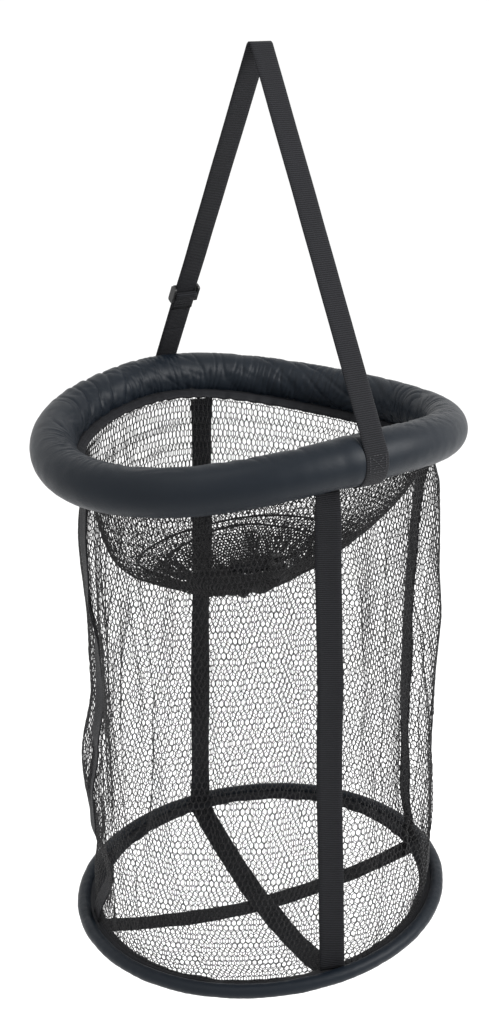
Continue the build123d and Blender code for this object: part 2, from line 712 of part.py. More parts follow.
def make_tab():
    """The strap's own end: up the inside, round the slider's middle bar and sewn to itself."""
    inner = (SLIDER_BAR + 0.6) / 2.0 + TAB_GAP
    near = tab_outer_layer[1]
    far = bar_outer_face - TAB_GAP - TAB_THICKNESS
    long_end = (back_leg.at_height(SWING_HEIGHT + FLEX_REACH) - slider_plane.origin).length
    outline = Pos((long_end - inner - TAB_THICKNESS) / 2.0, 0, (near + near - TAB_THICKNESS) / 2.0) * Box(
        long_end + inner + TAB_THICKNESS, WEBBING_WIDTH, TAB_THICKNESS
    )
    fold = Pos(-inner - TAB_THICKNESS / 2.0, 0, (near + far) / 2.0) * Box(TAB_THICKNESS, WEBBING_WIDTH, near - far)
    seam_start = inner + 3.0
    short = Pos((seam_start - inner - TAB_THICKNESS) / 2.0, 0, far + TAB_THICKNESS / 2.0) * Box(
        seam_start + inner + TAB_THICKNESS, WEBBING_WIDTH, TAB_THICKNESS
    )
    step = Pos(seam_start, 0, (far + near - TAB_THICKNESS) / 2.0) * Box(
        TAB_THICKNESS, WEBBING_WIDTH, near - TAB_THICKNESS - far
    )
    sewn = Pos(seam_start + TAB_SEAM_LENGTH / 2.0, 0, near - 1.5 * TAB_THICKNESS) * Box(
        TAB_SEAM_LENGTH, WEBBING_WIDTH, TAB_THICKNESS
    )
    return slider_plane * (outline + fold + short + step + sewn)


def make_tab_stitching():
    """Three rows of stitches across the sewn end of the tab."""
    z = tab_outer_layer[1] - 2.0 * TAB_THICKNESS - 0.2
    first = (SLIDER_BAR + 0.6) / 2.0 + TAB_GAP + 6.0
    rows = []
    for row in range(3):
        for i in range(7):
            y = (i - 3) * 3.2
            rows.append(slider_plane * (Pos(first + row * 3.4, y, z) * Box(0.7, 2.2, 0.4)))
    return rows


save("strap_slider", make_slider())
save("strap_tab", make_tab())
save("strap_tab_stitching", *make_tab_stitching())


# ---- stitching ------------------------------------------------------------------------


def box_stitches(size):
    """A boxed cross of stitches, each a small raised bar, in a flat frame."""
    length, width = size
    corners = [
        (-length / 2.0, -width / 2.0),
        (length / 2.0, -width / 2.0),
        (length / 2.0, width / 2.0),
        (-length / 2.0, width / 2.0),
    ]
    lines = [(corners[i], corners[(i + 1) % 4]) for i in range(4)]
    lines += [(corners[0], corners[2]), (corners[1], corners[3])]
    bars = []
    for (x0, y0), (x1, y1) in lines:
        count = int(math.hypot(x1 - x0, y1 - y0) / STITCH_PITCH)
        angle = math.degrees(math.atan2(y1 - y0, x1 - x0))
        for i in range(count):
            share = (i + 0.5) / count
            place = Pos(x0 + (x1 - x0) * share, y0 + (y1 - y0) * share, 0) * Rot(0, 0, angle)
            bar = place * Box(*STITCH)
            if all((bar.center() - other.center()).length > STITCH[0] + 0.6 for other in bars):
                bars.append(bar)
    return bars


def make_strap_end_stitching():
    """The sewn box on each end of the strap, on the outer side of the float tube."""
    outer = WRAP_INNER_RADIUS + WEBBING_THICKNESS
    bars = []
    for leg in (front_leg, back_leg):
        for bar in box_stitches(STRAP_BOX):
            down = STRAP_BOX_SETBACK + bar.center().X
            turn = math.radians(leg.lean) - down / outer
            radial = Vector(leg.side * math.cos(turn), 0, math.sin(turn))
            along = Vector(leg.side * math.sin(turn), 0, -math.cos(turn))
            spot = Vector(leg.tube_centre.X, 0, leg.tube_centre.Z) + radial * (outer + STITCH[2] / 2.0 + 0.1)
            bars.append(Plane(origin=spot, x_dir=along, z_dir=radial) * (Pos(-bar.center().X, 0, 0) * bar))
    return bars


def make_base_cross_stitching():
    """The sewn box where the two base webbings cross, on the lower one."""
    height = -BINDING_THICKNESS / 2.0 - 0.6 - BASE_SAG - NET_THICKNESS - LAYER_GAP
    height -= 2.0 * WEBBING_THICKNESS + 0.3 + STITCH[2] / 2.0 + 0.1
    azimuth = (WEBBING_BASE_AZIMUTHS[0] + WEBBING_BASE_AZIMUTHS[2] - 180.0) / 2.0
    return [base_plane * (Pos(0, 0, height) * Rot(0, 0, azimuth) * bar) for bar in box_stitches(BASE_BOX)]


save("strap_end_stitching", *make_strap_end_stitching())
save("base_cross_stitching", *make_base_cross_stitching())

print("loops at x %.1f and %.1f" % (front_leg.tube_centre.X, back_leg.tube_centre.X))
print("leg lean %.2f and %.2f" % (front_leg.lean, back_leg.lean))
print("slider centre", slider_plane.origin)
print("lock centre", lock_plane.origin)
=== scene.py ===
import math

import bmesh
import bpy
import numpy as np
from mathutils import Matrix, Vector, noise


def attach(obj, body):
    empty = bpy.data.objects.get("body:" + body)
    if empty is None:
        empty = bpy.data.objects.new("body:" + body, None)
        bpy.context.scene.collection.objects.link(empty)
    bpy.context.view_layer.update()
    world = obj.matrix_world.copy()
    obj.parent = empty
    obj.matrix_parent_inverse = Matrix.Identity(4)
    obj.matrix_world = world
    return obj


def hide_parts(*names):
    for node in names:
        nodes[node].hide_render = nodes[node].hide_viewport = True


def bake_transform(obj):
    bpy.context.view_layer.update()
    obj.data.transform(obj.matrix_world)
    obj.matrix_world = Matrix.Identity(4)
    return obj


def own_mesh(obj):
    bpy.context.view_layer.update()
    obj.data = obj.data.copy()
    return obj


# The looks of a hanging keep net: a padded float ring, mesh sides with four webbings, a base
# ring, a drawcord collar in the mouth and a carrying strap. Metres, in the frame of the CAD
# part: the origin is the hang point, +Z is up and the strap lies in the XZ plane.

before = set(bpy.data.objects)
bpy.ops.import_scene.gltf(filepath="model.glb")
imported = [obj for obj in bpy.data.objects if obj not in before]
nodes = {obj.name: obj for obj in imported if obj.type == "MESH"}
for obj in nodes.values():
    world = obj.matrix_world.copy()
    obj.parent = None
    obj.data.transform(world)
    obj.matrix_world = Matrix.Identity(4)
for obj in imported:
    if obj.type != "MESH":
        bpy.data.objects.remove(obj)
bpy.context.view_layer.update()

# ---- driving dimensions ---------------------------------------------------------------

FLOAT_CENTRE = Vector((0.003, -0.009, -0.381))
FLOAT_RADIUS = 0.197
FLOAT_OVAL = 0.068
FLOAT_LIFT = 0.0147
FLOAT_AXIS_AZIMUTH = 6.7
TUBE_RADIUS = 0.024
SEAM_ANGLE = 225.0
SEAM_TURN = 20.0
SEAM_TURN_AZIMUTH = 238.5
SEAM_REACH = 0.034
FLOAT_SWAY = ((85.0, 42.0, 0.0046), (209.0, 26.0, -0.0028))
COVER_JOINT_AZIMUTH = -2.8

BASE_CENTRE = Vector((0.0154, -0.0034, -0.917))
BASE_RADIUS = 0.201
BASE_TILT = 4.6
BASE_HIGH_AZIMUTH = 68.3
BASE_TUBE_RADIUS = 0.0075
BINDING_INNER_RADIUS = 0.181
BINDING_THICKNESS = 0.002
BASE_SAG = 0.026
BASE_NET_AZIMUTH = 58.0

WEBBING_WIDTH = 0.0258
WEBBING_THICKNESS = 0.0016
RIB_PITCH = 0.0021
WEBBING_TOP_AZIMUTHS = (-6.5, 71.7, 168.7, 256.2)
WEBBING_BASE_AZIMUTHS = (-8.5, 79.2, 171.2, 255.2)
SIDE_NAMES = ("front", "right", "back", "left")
PANEL_NAMES = ("front_right", "back_right", "back_left", "front_left")
NET_BASE_RADIUS = 0.187

CELL_WIDTH = 0.0055
CELL_PITCH = 0.0073
CELL_PEAK = 0.0015
THREAD = 0.00088

COLLAR_RIM_RADIUS = 0.172
COLLAR_RIM_HEIGHT = -0.022
COLLAR_DEPTH = 0.172
COLLAR_FOLD_RADIUS = 0.062
COLLAR_START_AZIMUTH = 43.2
PAN_AZIMUTH = 220.0
PAN_SLOPE = 0.24
PAN_WALL = 10.0
CONE_FLOOR_RADIUS = 0.026
CONE_SLOPE = 0.70
CONE_WALL = 6.0
SHALLOW_AZIMUTH = -30.0
SHALLOW_SPREAD = 50.0
SHALLOW_RISE = 0.004
THROAT = Vector((-0.0210, -0.0060, -0.547))
LOCK_AZIMUTH = 67.2
LOCK_CENTRE = Vector((-0.0063, 0.0290, -0.547))
LOCK_CLEARANCE = 0.0125
LOCK_RUN = 0.012
HEM_REACH = (-0.012, 0.027)
HEM_HALF_WIDTH = 0.0065
CORD_DIAMETER = 0.0025

FOLD_RADIUS = 0.0038
WRAP_RADIUS = 0.0258
WRAP_END_ANGLE = -128.0
SLIDER_HEIGHT = -0.269
TAB_LAYER = -0.0017
TAB_THICKNESS = 0.0014
STRAP_ACROSS = Vector((0.0, -1.0, 0.0))

CAMERA_DISTANCE = 1.554
CAMERA_HEIGHT = 0.457
CAMERA_AZIMUTH = 58.5
CAMERA_YAW = -0.25
CAMERA_PITCH = -19.49
CAMERA_ROLL = 0.16
LENS_MM = 54.98
FLOOR_Z = -1.30


# ---- helpers --------------------------------------------------------------------------


def polar(azimuth, radius=1.0):
    """A level vector at an azimuth in degrees."""
    angle = math.radians(azimuth)
    return Vector((radius * math.cos(angle), radius * math.sin(angle), 0.0))


def mix(a, b, share):
    """From a at share 0 to b at share 1."""
    return a + (b - a) * share


def smooth(x):
    """A soft step from 0 at x = 0 to 1 at x = 1."""
    x = min(max(x, 0.0), 1.0)
    return x * x * (3.0 - 2.0 * x)


def wobble(x, y, z=0.0):
    """Smooth noise from about -1 to 1."""
    return noise.noise(Vector((x, y, z)))


def turn_between(azimuth, other):
    """The angle from one azimuth to another, from -180 to 180."""
    return (azimuth - other + 180.0) % 360.0 - 180.0


def hump(azimuth, middle, spread):
    """1 at an azimuth, falling off smoothly on both sides of it."""
    return math.exp(-((turn_between(azimuth, middle) / spread) ** 2))


def ridge(x, y, z):
    """Narrow winding ridges from 0 to 1."""
    return max(1.0 - 4.5 * abs(wobble(x, y, z)), 0.0) ** 2


def ring_wobble(ring, scale, z=0.0):
    """Smooth noise round a ring, with no seam where the ring closes."""
    return wobble(ring.x * scale, ring.y * scale, z)


def float_point(azimuth, radial=0.0, height=0.0):
    """A point beside the float tube's centreline, moved outwards and upwards."""
    wave = math.cos(2.0 * math.radians(azimuth - FLOAT_AXIS_AZIMUTH))
    radius = FLOAT_RADIUS * (1.0 - FLOAT_OVAL * wave) + radial
    sway = sum(rise * hump(azimuth, middle, spread) for middle, spread, rise in FLOAT_SWAY)
    return FLOAT_CENTRE + polar(azimuth, radius) + Vector((0.0, 0.0, FLOAT_LIFT * wave + sway + height))


def float_section(azimuth, angle, reach):
    """A point in the float tube's cross-section: angle 0 is outwards and 90 is up."""
    tangent = (float_point(azimuth + 0.1) - float_point(azimuth - 0.1)).normalized()
    outwards = tangent.cross(Vector((0.0, 0.0, 1.0))).normalized()
    upwards = outwards.cross(tangent)
    turn = math.radians(angle)
    return float_point(azimuth) + (outwards * math.cos(turn) + upwards * math.sin(turn)) * reach


def seam_angle(azimuth):
    """Where the seam lies on the tube: the hanging net has turned it towards one side."""
    return SEAM_ANGLE - SEAM_TURN * math.cos(math.radians(azimuth - SEAM_TURN_AZIMUTH))


def seam_point(azimuth, radial, height):
    """A point beside the seam edge's lip, moved outwards and upwards."""
    turn = math.radians(seam_angle(azimuth))
    return float_point(azimuth, SEAM_REACH * math.cos(turn) + radial, SEAM_REACH * math.sin(turn) + height)


# The base ring's own axes: its plane rises towards BASE_HIGH_AZIMUTH.
slope = math.tan(math.radians(BASE_TILT))
uphill = polar(BASE_HIGH_AZIMUTH)
base_up = Vector((-slope * uphill.x, -slope * uphill.y, 1.0)).normalized()
base_x = Vector((1.0, 0.0, slope * uphill.x)).normalized()
base_y = base_up.cross(base_x)


def base_point(azimuth, radius, height=0.0):
    """A point in the base ring's own tilted frame."""
    flat = polar(azimuth, radius)
    return BASE_CENTRE + base_x * flat.x + base_y * flat.y + base_up * height


def add_object(name, mesh):
    """A new object of the scene."""
    piece = bpy.data.objects.new(name, mesh)
    bpy.context.scene.collection.objects.link(piece)
    return piece


def finish_mesh(name, verts, faces, uvs=None):
    """A smooth mesh object with its faces turned outwards and a map of the cloth in metres."""
    mesh = bpy.data.meshes.new(name)
    mesh.from_pydata([tuple(v) for v in verts], [], faces)
    if uvs is not None:
        layer = mesh.uv_layers.new(name="cloth")
        layer.data.foreach_set("uv", [c for uv in uvs for c in uv])
    work = bmesh.new()
    work.from_mesh(mesh)
    bmesh.ops.recalc_face_normals(work, faces=work.faces)
    work.to_mesh(mesh)
    work.free()
    mesh.polygons.foreach_set("use_smooth", [True] * len(mesh.polygons))
    return add_object(name, mesh)


def loft(name, rows, row_map, closed_along=False, closed_round=False, caps=False):
    """A mesh through rows of points. row_map(i, j) is a corner's place on the flat cloth."""
    m = len(rows)
    n = len(rows[0])
    faces = []
    uvs = []
    for i in range(m if closed_along else m - 1):
        for j in range(n if closed_round else n - 1):
            k = (i + 1) % m
            l = (j + 1) % n
            faces.append((i * n + j, k * n + j, k * n + l, i * n + l))
            uvs += [row_map(i, j), row_map(i + 1, j), row_map(i + 1, j + 1), row_map(i, j + 1)]
    if caps:
        for i in (0, m - 1):
            faces.append(tuple(i * n + j for j in range(n)))
            uvs += [row_map(i, j) for j in range(n)]
    return finish_mesh(name, [p for row in rows for p in row], faces, uvs)


def ring_loft(name, rows, width, length):
    """A loft closed both ways: width is the cloth's way round a row, length its way along."""
    n = len(rows[0])
    m = len(rows)

    def place(i, j):
        return (width * j / n, length * i / m)

    return loft(name, rows, place, closed_along=True, closed_round=True)


def ribbon(name, centres, acrosses, width, thickness, cup=0.0):
    """A flat webbing along a line. acrosses are the unit directions across it."""
    half = width / 2.0
    edge = min(thickness, 0.0009)
    shares = (-1.0, -0.66, -0.33, 0.0, 0.33, 0.66, 1.0)
    spans = [(s * (half - edge), thickness / 2.0) for s in shares]
    profile = [(-half, 0.0)] + spans + [(half, 0.0)] + [(a, -t) for a, t in reversed(spans)]
    rows = []
    runs = [0.0]
    count = len(centres)
    for i in range(count):
        tangent = (centres[min(i + 1, count - 1)] - centres[max(i - 1, 0)]).normalized()
        across = (acrosses[i] - tangent * acrosses[i].dot(tangent)).normalized()
        normal = across.cross(tangent)
        bend = [cup * (1.0 - (a / half) ** 2) for a, t in profile]
        rows.append([centres[i] + across * a + normal * (t + b) for (a, t), b in zip(profile, bend)])
        if i:
            runs.append(runs[-1] + (centres[i] - centres[i - 1]).length)

    def place(i, j):
        return (profile[j % len(profile)][0], runs[i])

    return loft(name, rows, place, closed_round=True, caps=True)


def net(name, place, columns, rows, closed=False, inside=None, thread=THREAD):
    """Knotless hexagon netting. place(column, row) is a point of the cloth, counted in cells."""
    across = 2 * columns + (0 if closed else 1)
    peak = CELL_PEAK / CELL_PITCH
    points = []
    for row in range(rows + 1):
        for j in range(across):
            lift = -peak if (j + row) % 2 == 0 else peak
            points.append(tuple(place(j / 2.0, row + lift)))
    strands = set()
    for row in range(rows):
        for j in range(0 if closed else 1, 2 * columns):
            if (j + row) % 2 or (inside and not inside(j / 2.0, row + 0.5)):
                continue
            cell = [(row, j), (row, j + 1), (row + 1, j + 1), (row + 1, j), (row + 1, j - 1), (row, j - 1)]
            ring = [r * across + c % across for r, c in cell]
            strands.update((min(a, b), max(a, b)) for a, b in zip(ring, ring[1:] + ring[:1]))
    pairs = np.array(sorted(strands))
    if callable(thread):
        thread = np.array([[thread(a // across / rows)] for a, b in pairs])
    return add_object(name, make_strands(name, np.array(points), pairs, thread))


def make_strands(name, points, pairs, thread):
    """A mesh of three-sided strands, one between each pair of points."""
    along = points[pairs[:, 1]] - points[pairs[:, 0]]
    along /= np.linalg.norm(along, axis=1)[:, None]
    side = np.cross(along, (0.83, 0.52, 0.20))
    side /= np.linalg.norm(side, axis=1)[:, None]
    over = np.cross(along, side)
    corners = []
    for end in (0, 1):
        for turn in (math.radians(90.0), math.radians(210.0), math.radians(330.0)):
            reach = (side * math.cos(turn) + over * math.sin(turn)) * (thread * 0.6)
            corners.append(points[pairs[:, end]] + reach)
    verts = np.stack(corners, axis=1).reshape(-1, 3)
    faces = []
    for k in range(0, 6 * len(pairs), 6):
        faces += [(k, k + 1, k + 4, k + 3), (k + 1, k + 2, k + 5, k + 4), (k + 2, k, k + 3, k + 5)]
        faces += [(k, k + 2, k + 1), (k + 3, k + 4, k + 5)]
    mesh = bpy.data.meshes.new(name)
    mesh.from_pydata(verts.tolist(), [], faces)
    mesh.polygons.foreach_set("use_smooth", [True] * len(mesh.polygons))
    return mesh


def join_pieces(main, *others):
    """Put other mesh pieces into one."""
    pieces = [main, *others]
    chosen = {"selected_editable_objects": pieces, "selected_objects": pieces}
    with bpy.context.temp_override(active_object=main, **chosen):
        bpy.ops.object.join()
    return main


# ---- materials ------------------------------------------------------------------------


class Paint:
    """A material's node tree, with short calls to add and join its nodes."""

    def __init__(self, name, color, roughness, specular=0.5, sheen=0.0):
        self.material = bpy.data.materials.new(name)
        self.material.use_nodes = True
        self.tree = self.material.node_tree
        self.shader = self.tree.nodes["Principled BSDF"]
        self.feed(self.shader, "Base Color", (*color, 1.0))
        self.feed(self.shader, "Roughness", roughness)
        self.feed(self.shader, "Specular IOR Level", specular)
        self.feed(self.shader, "Sheen Weight", sheen)
        self.feed(self.shader, "Sheen Roughness", 0.4)

    def feed(self, node, key, value):
        """Set one of a node's inputs, or join another node's output to it."""
        if isinstance(value, bpy.types.NodeSocket):
            self.tree.links.new(value, node.inputs[key])
        else:
            node.inputs[key].default_value = value

    def node(self, kind, inputs=None, **settings):
        """A new node with its settings and inputs."""
        made = self.tree.nodes.new(kind)
        for key, value in settings.items():
            setattr(made, key, value)
        for key, value in (inputs or {}).items():
            self.feed(made, key, value)
        return made

    def place_map(self, source, scale=(1.0, 1.0, 1.0)):
        """Places in metres times a scale: "UV" on the flat cloth, "Object" in the solid."""
        coords = self.node("ShaderNodeTexCoord")
        mapping = self.node("ShaderNodeMapping", {"Scale": scale, "Vector": coords.outputs[source]})
        return mapping.outputs["Vector"]

    def noise(self, vector, scale, detail=3.0):
        made = self.node("ShaderNodeTexNoise", {"Scale": scale, "Detail": detail, "Vector": vector})
        return made.outputs["Fac"]

    def bands(self, vector, scale, direction, distortion=0.0):
        inputs = {"Scale": scale, "Distortion": distortion, "Vector": vector}
        made = self.node("ShaderNodeTexWave", inputs, wave_type="BANDS", wave_profile="SIN")
        made.bands_direction = direction
        return made.outputs["Fac"]

    def math(self, operation, a, b):
        return self.node("ShaderNodeMath", {0: a, 1: b}, operation=operation).outputs[0]

    def range(self, value, low, high):
        made = self.node("ShaderNodeMapRange", {"To Min": low, "To Max": high, "Value": value})
        return made.outputs["Result"]

    def tint(self, value, dark, light):
        """The base colour, from dark to light by a value."""
        inputs = {"A": (*dark, 1.0), "B": (*light, 1.0), "Factor": value}
        made = self.node("ShaderNodeMix", inputs, data_type="RGBA")
        self.feed(self.shader, "Base Color", made.outputs["Result"])

    def bump(self, height, distance, strength=1.0, under=None):
        made = self.node("ShaderNodeBump", {"Distance": distance, "Strength": strength, "Height": height})
        if under is not None:
            self.feed(made, "Normal", under)
        self.feed(self.shader, "Normal", made.outputs["Normal"])
        return made.outputs["Normal"]


def make_cover_paint():
    """Satin coated fabric: a fine plain weave under a soft coat, with faint scuffs."""
    paint = Paint("coated_fabric", (0.010, 0.014, 0.019), 0.42, specular=0.17, sheen=0.0)
    weave_map = paint.place_map("UV")
    warp = paint.bands(weave_map, 480.0, "X")
    weft = paint.bands(weave_map, 480.0, "Y")
    weave = paint.math("MULTIPLY", warp, weft)
    soft = paint.noise(weave_map, 60.0, 4.0)
    scuff = paint.noise(weave_map, 18.0, 6.0)
    paint.tint(paint.range(scuff, 0.1, 1.0), (0.0036, 0.0060, 0.0096), (0.0066, 0.0100, 0.0150))
    paint.feed(paint.shader, "Roughness", paint.range(soft, 0.34, 0.50))
    fine = paint.bump(weave, 0.00008, 0.6)
    paint.bump(soft, 0.0012, 0.35, under=fine)
    return paint.material


def make_webbing_paint():
    """Ribbed woven webbing: cross ribs, a selvedge and a herringbone of fine yarns."""
    paint = Paint("ribbed_webbing", (0.010, 0.010, 0.011), 0.6, specular=0.15, sheen=0.03)
    cloth = paint.place_map("UV")
    ribs = paint.bands(cloth, 1.0 / (RIB_PITCH * 2.0 * math.pi) * 2.0, "Y", 0.4)
    yarns = paint.bands(cloth, 520.0, "X", 1.0)
    grain = paint.noise(cloth, 900.0, 2.0)
    height = paint.math("ADD", ribs, paint.math("MULTIPLY", yarns, 0.35))
    # The colour follows the ribs: painted highlight on the rib tops and painted shade in the grooves
    # between them, varied by a random yarn grain.
    rib_light_and_shade = paint.math("MULTIPLY", ribs, paint.range(grain, 0.5, 1.2))
    paint.tint(rib_light_and_shade, (0.0022, 0.0024, 0.0032), (0.0180, 0.0186, 0.0225))
    paint.bump(height, 0.0005, 0.9)
    return paint.material


def make_thread_paint(name, color, roughness=0.6):
    """Twisted yarn, for the netting and the stitches."""
    paint = Paint(name, color, roughness, specular=0.2, sheen=0.03)
    place = paint.place_map("Object")
    strands = paint.noise(place, 900.0, 2.0)
    dark = tuple(c * 0.6 for c in color)
    light = tuple(c * 1.5 for c in color)
    paint.tint(strands, dark, light)
    paint.bump(strands, 0.0002, 0.5)
    return paint.material


def make_tape_paint():
    """Plain woven edge tape."""
    paint = Paint("edge_tape", (0.010, 0.011, 0.013), 0.6, specular=0.15, sheen=0.03)
    cloth = paint.place_map("UV")
    warp = paint.bands(cloth, 300.0, "X")
    weft = paint.bands(cloth, 300.0, "Y")
    paint.tint(paint.noise(cloth, 30.0, 5.0), (0.006, 0.0065, 0.008), (0.013, 0.0135, 0.016))
    paint.bump(paint.math("MULTIPLY", warp, weft), 0.0002, 0.8)
    return paint.material


def make_cord_paint():
    """Braided cord: two crossing sets of yarns."""
    paint = Paint("braided_cord", (0.008, 0.008, 0.009), 0.55, specular=0.2, sheen=0.03)
    place = paint.place_map("Object")
    braid = paint.bands(place, 260.0, "DIAGONAL", 2.0)
    # The colour follows the braid's relief: painted shade in the grooves between the yarns and painted
    # highlight on their crowns.
    paint.tint(braid, (0.004, 0.004, 0.0045), (0.013, 0.013, 0.015))
    paint.bump(braid, 0.0003, 0.8)
    return paint.material


def make_plastic_paint(name, color, roughness):
    """Moulded plastic with a fine spark-eroded grain."""
    paint = Paint(name, color, roughness, specular=0.5)
    place = paint.place_map("Object")
    grain = paint.noise(place, 1400.0, 2.0)
    wear = paint.noise(place, 60.0, 4.0)
    paint.tint(wear, tuple(c * 0.8 for c in color), tuple(c * 1.4 for c in color))
    paint.feed(paint.shader, "Roughness", paint.range(wear, roughness - 0.05, roughness + 0.08))
    paint.bump(grain, 0.00006, 0.6)
    return paint.material


def make_metal_paint(name, color, roughness):
    """Drawn wire or rolled tube, with fine lines."""
    paint = Paint(name, color, roughness)
    paint.feed(paint.shader, "Metallic", 1.0)
    place = paint.place_map("Object", (1.0, 1.0, 12.0))
    lines = paint.noise(place, 400.0, 3.0)
    paint.feed(paint.shader, "Roughness", paint.range(lines, roughness - 0.08, roughness + 0.12))
    paint.bump(lines, 0.00005, 0.5)
    return paint.material


cover_paint = make_cover_paint()
webbing_paint = make_webbing_paint()
net_paint = make_thread_paint("net_yarn", (0.009, 0.009, 0.010))
stitch_paint = make_thread_paint("sewing_thread", (0.035, 0.035, 0.038))
tape_paint = make_tape_paint()
cord_paint = make_cord_paint()
lock_paint = make_plastic_paint("lock_plastic", (0.012, 0.012, 0.013), 0.45)
slider_paint = make_plastic_paint("slider_plastic", (0.004, 0.004, 0.0045), 0.5)
hose_paint = make_plastic_paint("hose_rubber", (0.020, 0.020, 0.020), 0.7)
foam_paint = make_plastic_paint("foam", (0.45, 0.45, 0.45), 0.9)
steel_paint = make_metal_paint("spring_steel", (0.55, 0.56, 0.58), 0.3)
brass_paint = make_metal_paint("brass_tube", (0.75, 0.60, 0.32), 0.35)


def paint_piece(piece, material):
    """Give a piece one material."""
    piece.data.materials.clear()
    piece.data.materials.append(material)


NODE_PAINTS = {
    "float_foam_core": foam_paint,
    "float_core_dowel": foam_paint,
    "base_ring_wire": steel_paint,
    "base_ring_ferrule": brass_paint,
    "base_ring_hose": hose_paint,
    "cord_lock_body": lock_paint,
    "cord_lock_plunger": lock_paint,
    "cord_lock_spring": steel_paint,
    "strap_slider": slider_paint,
    "strap_tab_stitching": stitch_paint,
    "base_cross_stitching": stitch_paint,
}
for node, material in NODE_PAINTS.items():
    paint_piece(nodes[node], material)
spring = nodes["cord_lock_spring"]
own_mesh(spring)

# ---- camera and stage -----------------------------------------------------------------

bpy.context.scene.view_settings.view_transform = "Standard"
camera = bpy.data.objects.new("camera", bpy.data.cameras.new("camera"))
bpy.context.scene.collection.objects.link(camera)
bpy.context.scene.camera = camera
camera.data.lens = LENS_MM
camera.data.clip_end = 200.0
to_view = Matrix.Rotation(math.radians(CAMERA_AZIMUTH), 4, "Z")
camera_place = FLOAT_CENTRE + to_view @ Vector((0.0, -CAMERA_DISTANCE, CAMERA_HEIGHT))
aim = (
    to_view
    @ Matrix.Rotation(math.radians(-CAMERA_YAW), 4, "Z")
    @ Matrix.Rotation(math.radians(90.0 + CAMERA_PITCH), 4, "X")
    @ Matrix.Rotation(math.radians(CAMERA_ROLL), 4, "Z")
)
camera.matrix_world = Matrix.Translation(camera_place) @ aim

floor = add_object("floor", bpy.data.meshes.new("floor"))
floor_corners = [(x, y, FLOOR_Z) for x, y in ((-90, -90), (90, -90), (90, 90), (-90, 90))]
floor.data.from_pydata(floor_corners, [], [(0, 1, 2, 3)])
floor_paint = Paint("floor", (0.97, 0.97, 0.97), 0.9, specular=0.1)
paint_piece(floor, floor_paint.material)

world = bpy.data.worlds.new("studio")
bpy.context.scene.world = world
world.use_nodes = True
world.node_tree.nodes["Background"].inputs["Color"].default_value = (1.0, 1.0, 1.0, 1.0)
world.node_tree.nodes["Background"].inputs["Strength"].default_value = 1.06


def add_light(name, place, target, size, power):
    """A square softbox at a place to the right, behind and above, aimed at a height."""
    light = bpy.data.objects.new(name, bpy.data.lights.new(name, "AREA"))
    bpy.context.scene.collection.objects.link(light)
    light.data.shape = "SQUARE"
    light.data.size = size
    light.data.energy = power
    where = FLOAT_CENTRE + to_view @ Vector(place)
    toward = FLOAT_CENTRE + Vector((0.0, 0.0, target)) - where
    light.matrix_world = Matrix.Translation(where) @ toward.to_track_quat("-Z", "Y").to_matrix().to_4x4()


add_light("key_softbox", (1.8, -0.6, 0.9), 0.0, 1.0, 48.0)
add_light("fill_softbox", (-0.9, -1.7, 1.2), -0.1, 1.2, 4.0)
add_light("back_softbox", (-0.6, -0.6, 2.2), 0.0, 0.9, 10.0)

# ---- the collar's bowl ----------------------------------------------------------------


def bowl_height(radius, azimuth):
    """The bowl's height: a pan on one side, nearly a straight cone on the other."""
    bottom = -COLLAR_DEPTH + SHALLOW_RISE * hump(azimuth, SHALLOW_AZIMUTH, SHALLOW_SPREAD)
    pan = 0.5 + 0.5 * math.cos(math.radians(azimuth - PAN_AZIMUTH))
    start = mix(CONE_FLOOR_RADIUS, COLLAR_FOLD_RADIUS, pan)
    rise = max((radius - start) / (COLLAR_RIM_RADIUS - start), 0.0)
    slope = mix(CONE_SLOPE, PAN_SLOPE, pan)
    wall = mix(CONE_WALL, PAN_WALL, pan)
    return bottom + (COLLAR_RIM_HEIGHT - bottom) * (slope * rise + (1.0 - slope) * rise**wall)


def height_on_bowl(place):
    """The bowl's height straight above or below a place."""
    away = place - FLOAT_CENTRE
    azimuth = math.degrees(math.atan2(away.y, away.x))
    return FLOAT_CENTRE.z + bowl_height(math.hypot(away.x, away.y), azimuth)


def lay_on_net(place):
    """The cord's point laid on the collar net, but level with the lock where it enters it."""
    far = smooth(((place - LOCK_CENTRE).length - 0.022) / 0.030)
    return Vector((place.x, place.y, mix(place.z, height_on_bowl(place) + CORD_DIAMETER, far)))


# ---- drawcord -------------------------------------------------------------------------

# The free loop's route: X, Y and the height over the float ring's plane.
LOOP_ROUTE = [
    (0.0044, 0.0505, -0.1660),
    (0.0150, 0.0694, -0.1676),
    (0.0052, 0.0886, -0.1576),
    (-0.0222, 0.0911, -0.1526),
    (-0.0525, 0.0824, -0.1466),
    (-0.0802, 0.0658, -0.1386),
    (-0.1026, 0.0366, -0.1296),
    (-0.1125, 0.0016, -0.1241),
    (-0.1121, -0.0355, -0.1201),
    (-0.0999, -0.0696, -0.1216),
    (-0.0793, -0.0978, -0.1241),
    (-0.0556, -0.1158, -0.1301),
    (-0.0383, -0.1182, -0.1371),
    (-0.0282, -0.1083, -0.1496),
    (-0.0304, -0.0944, -0.1601),
    (-0.0442, -0.0856, -0.1606),
    (-0.0681, -0.0767, -0.1531),
    (-0.0888, -0.0484, -0.1491),
    (-0.1010, -0.0135, -0.1421),
    (-0.0991, 0.0209, -0.1396),
    (-0.0844, 0.0463, -0.1471),
    (-0.0616, 0.0614, -0.1561),
    (-0.0327, 0.0741, -0.1611),
    (-0.0096, 0.0742, -0.1661),
    (0.0063, 0.0656, -0.1686),
    (0.0017, 0.0516, -0.1660),
]


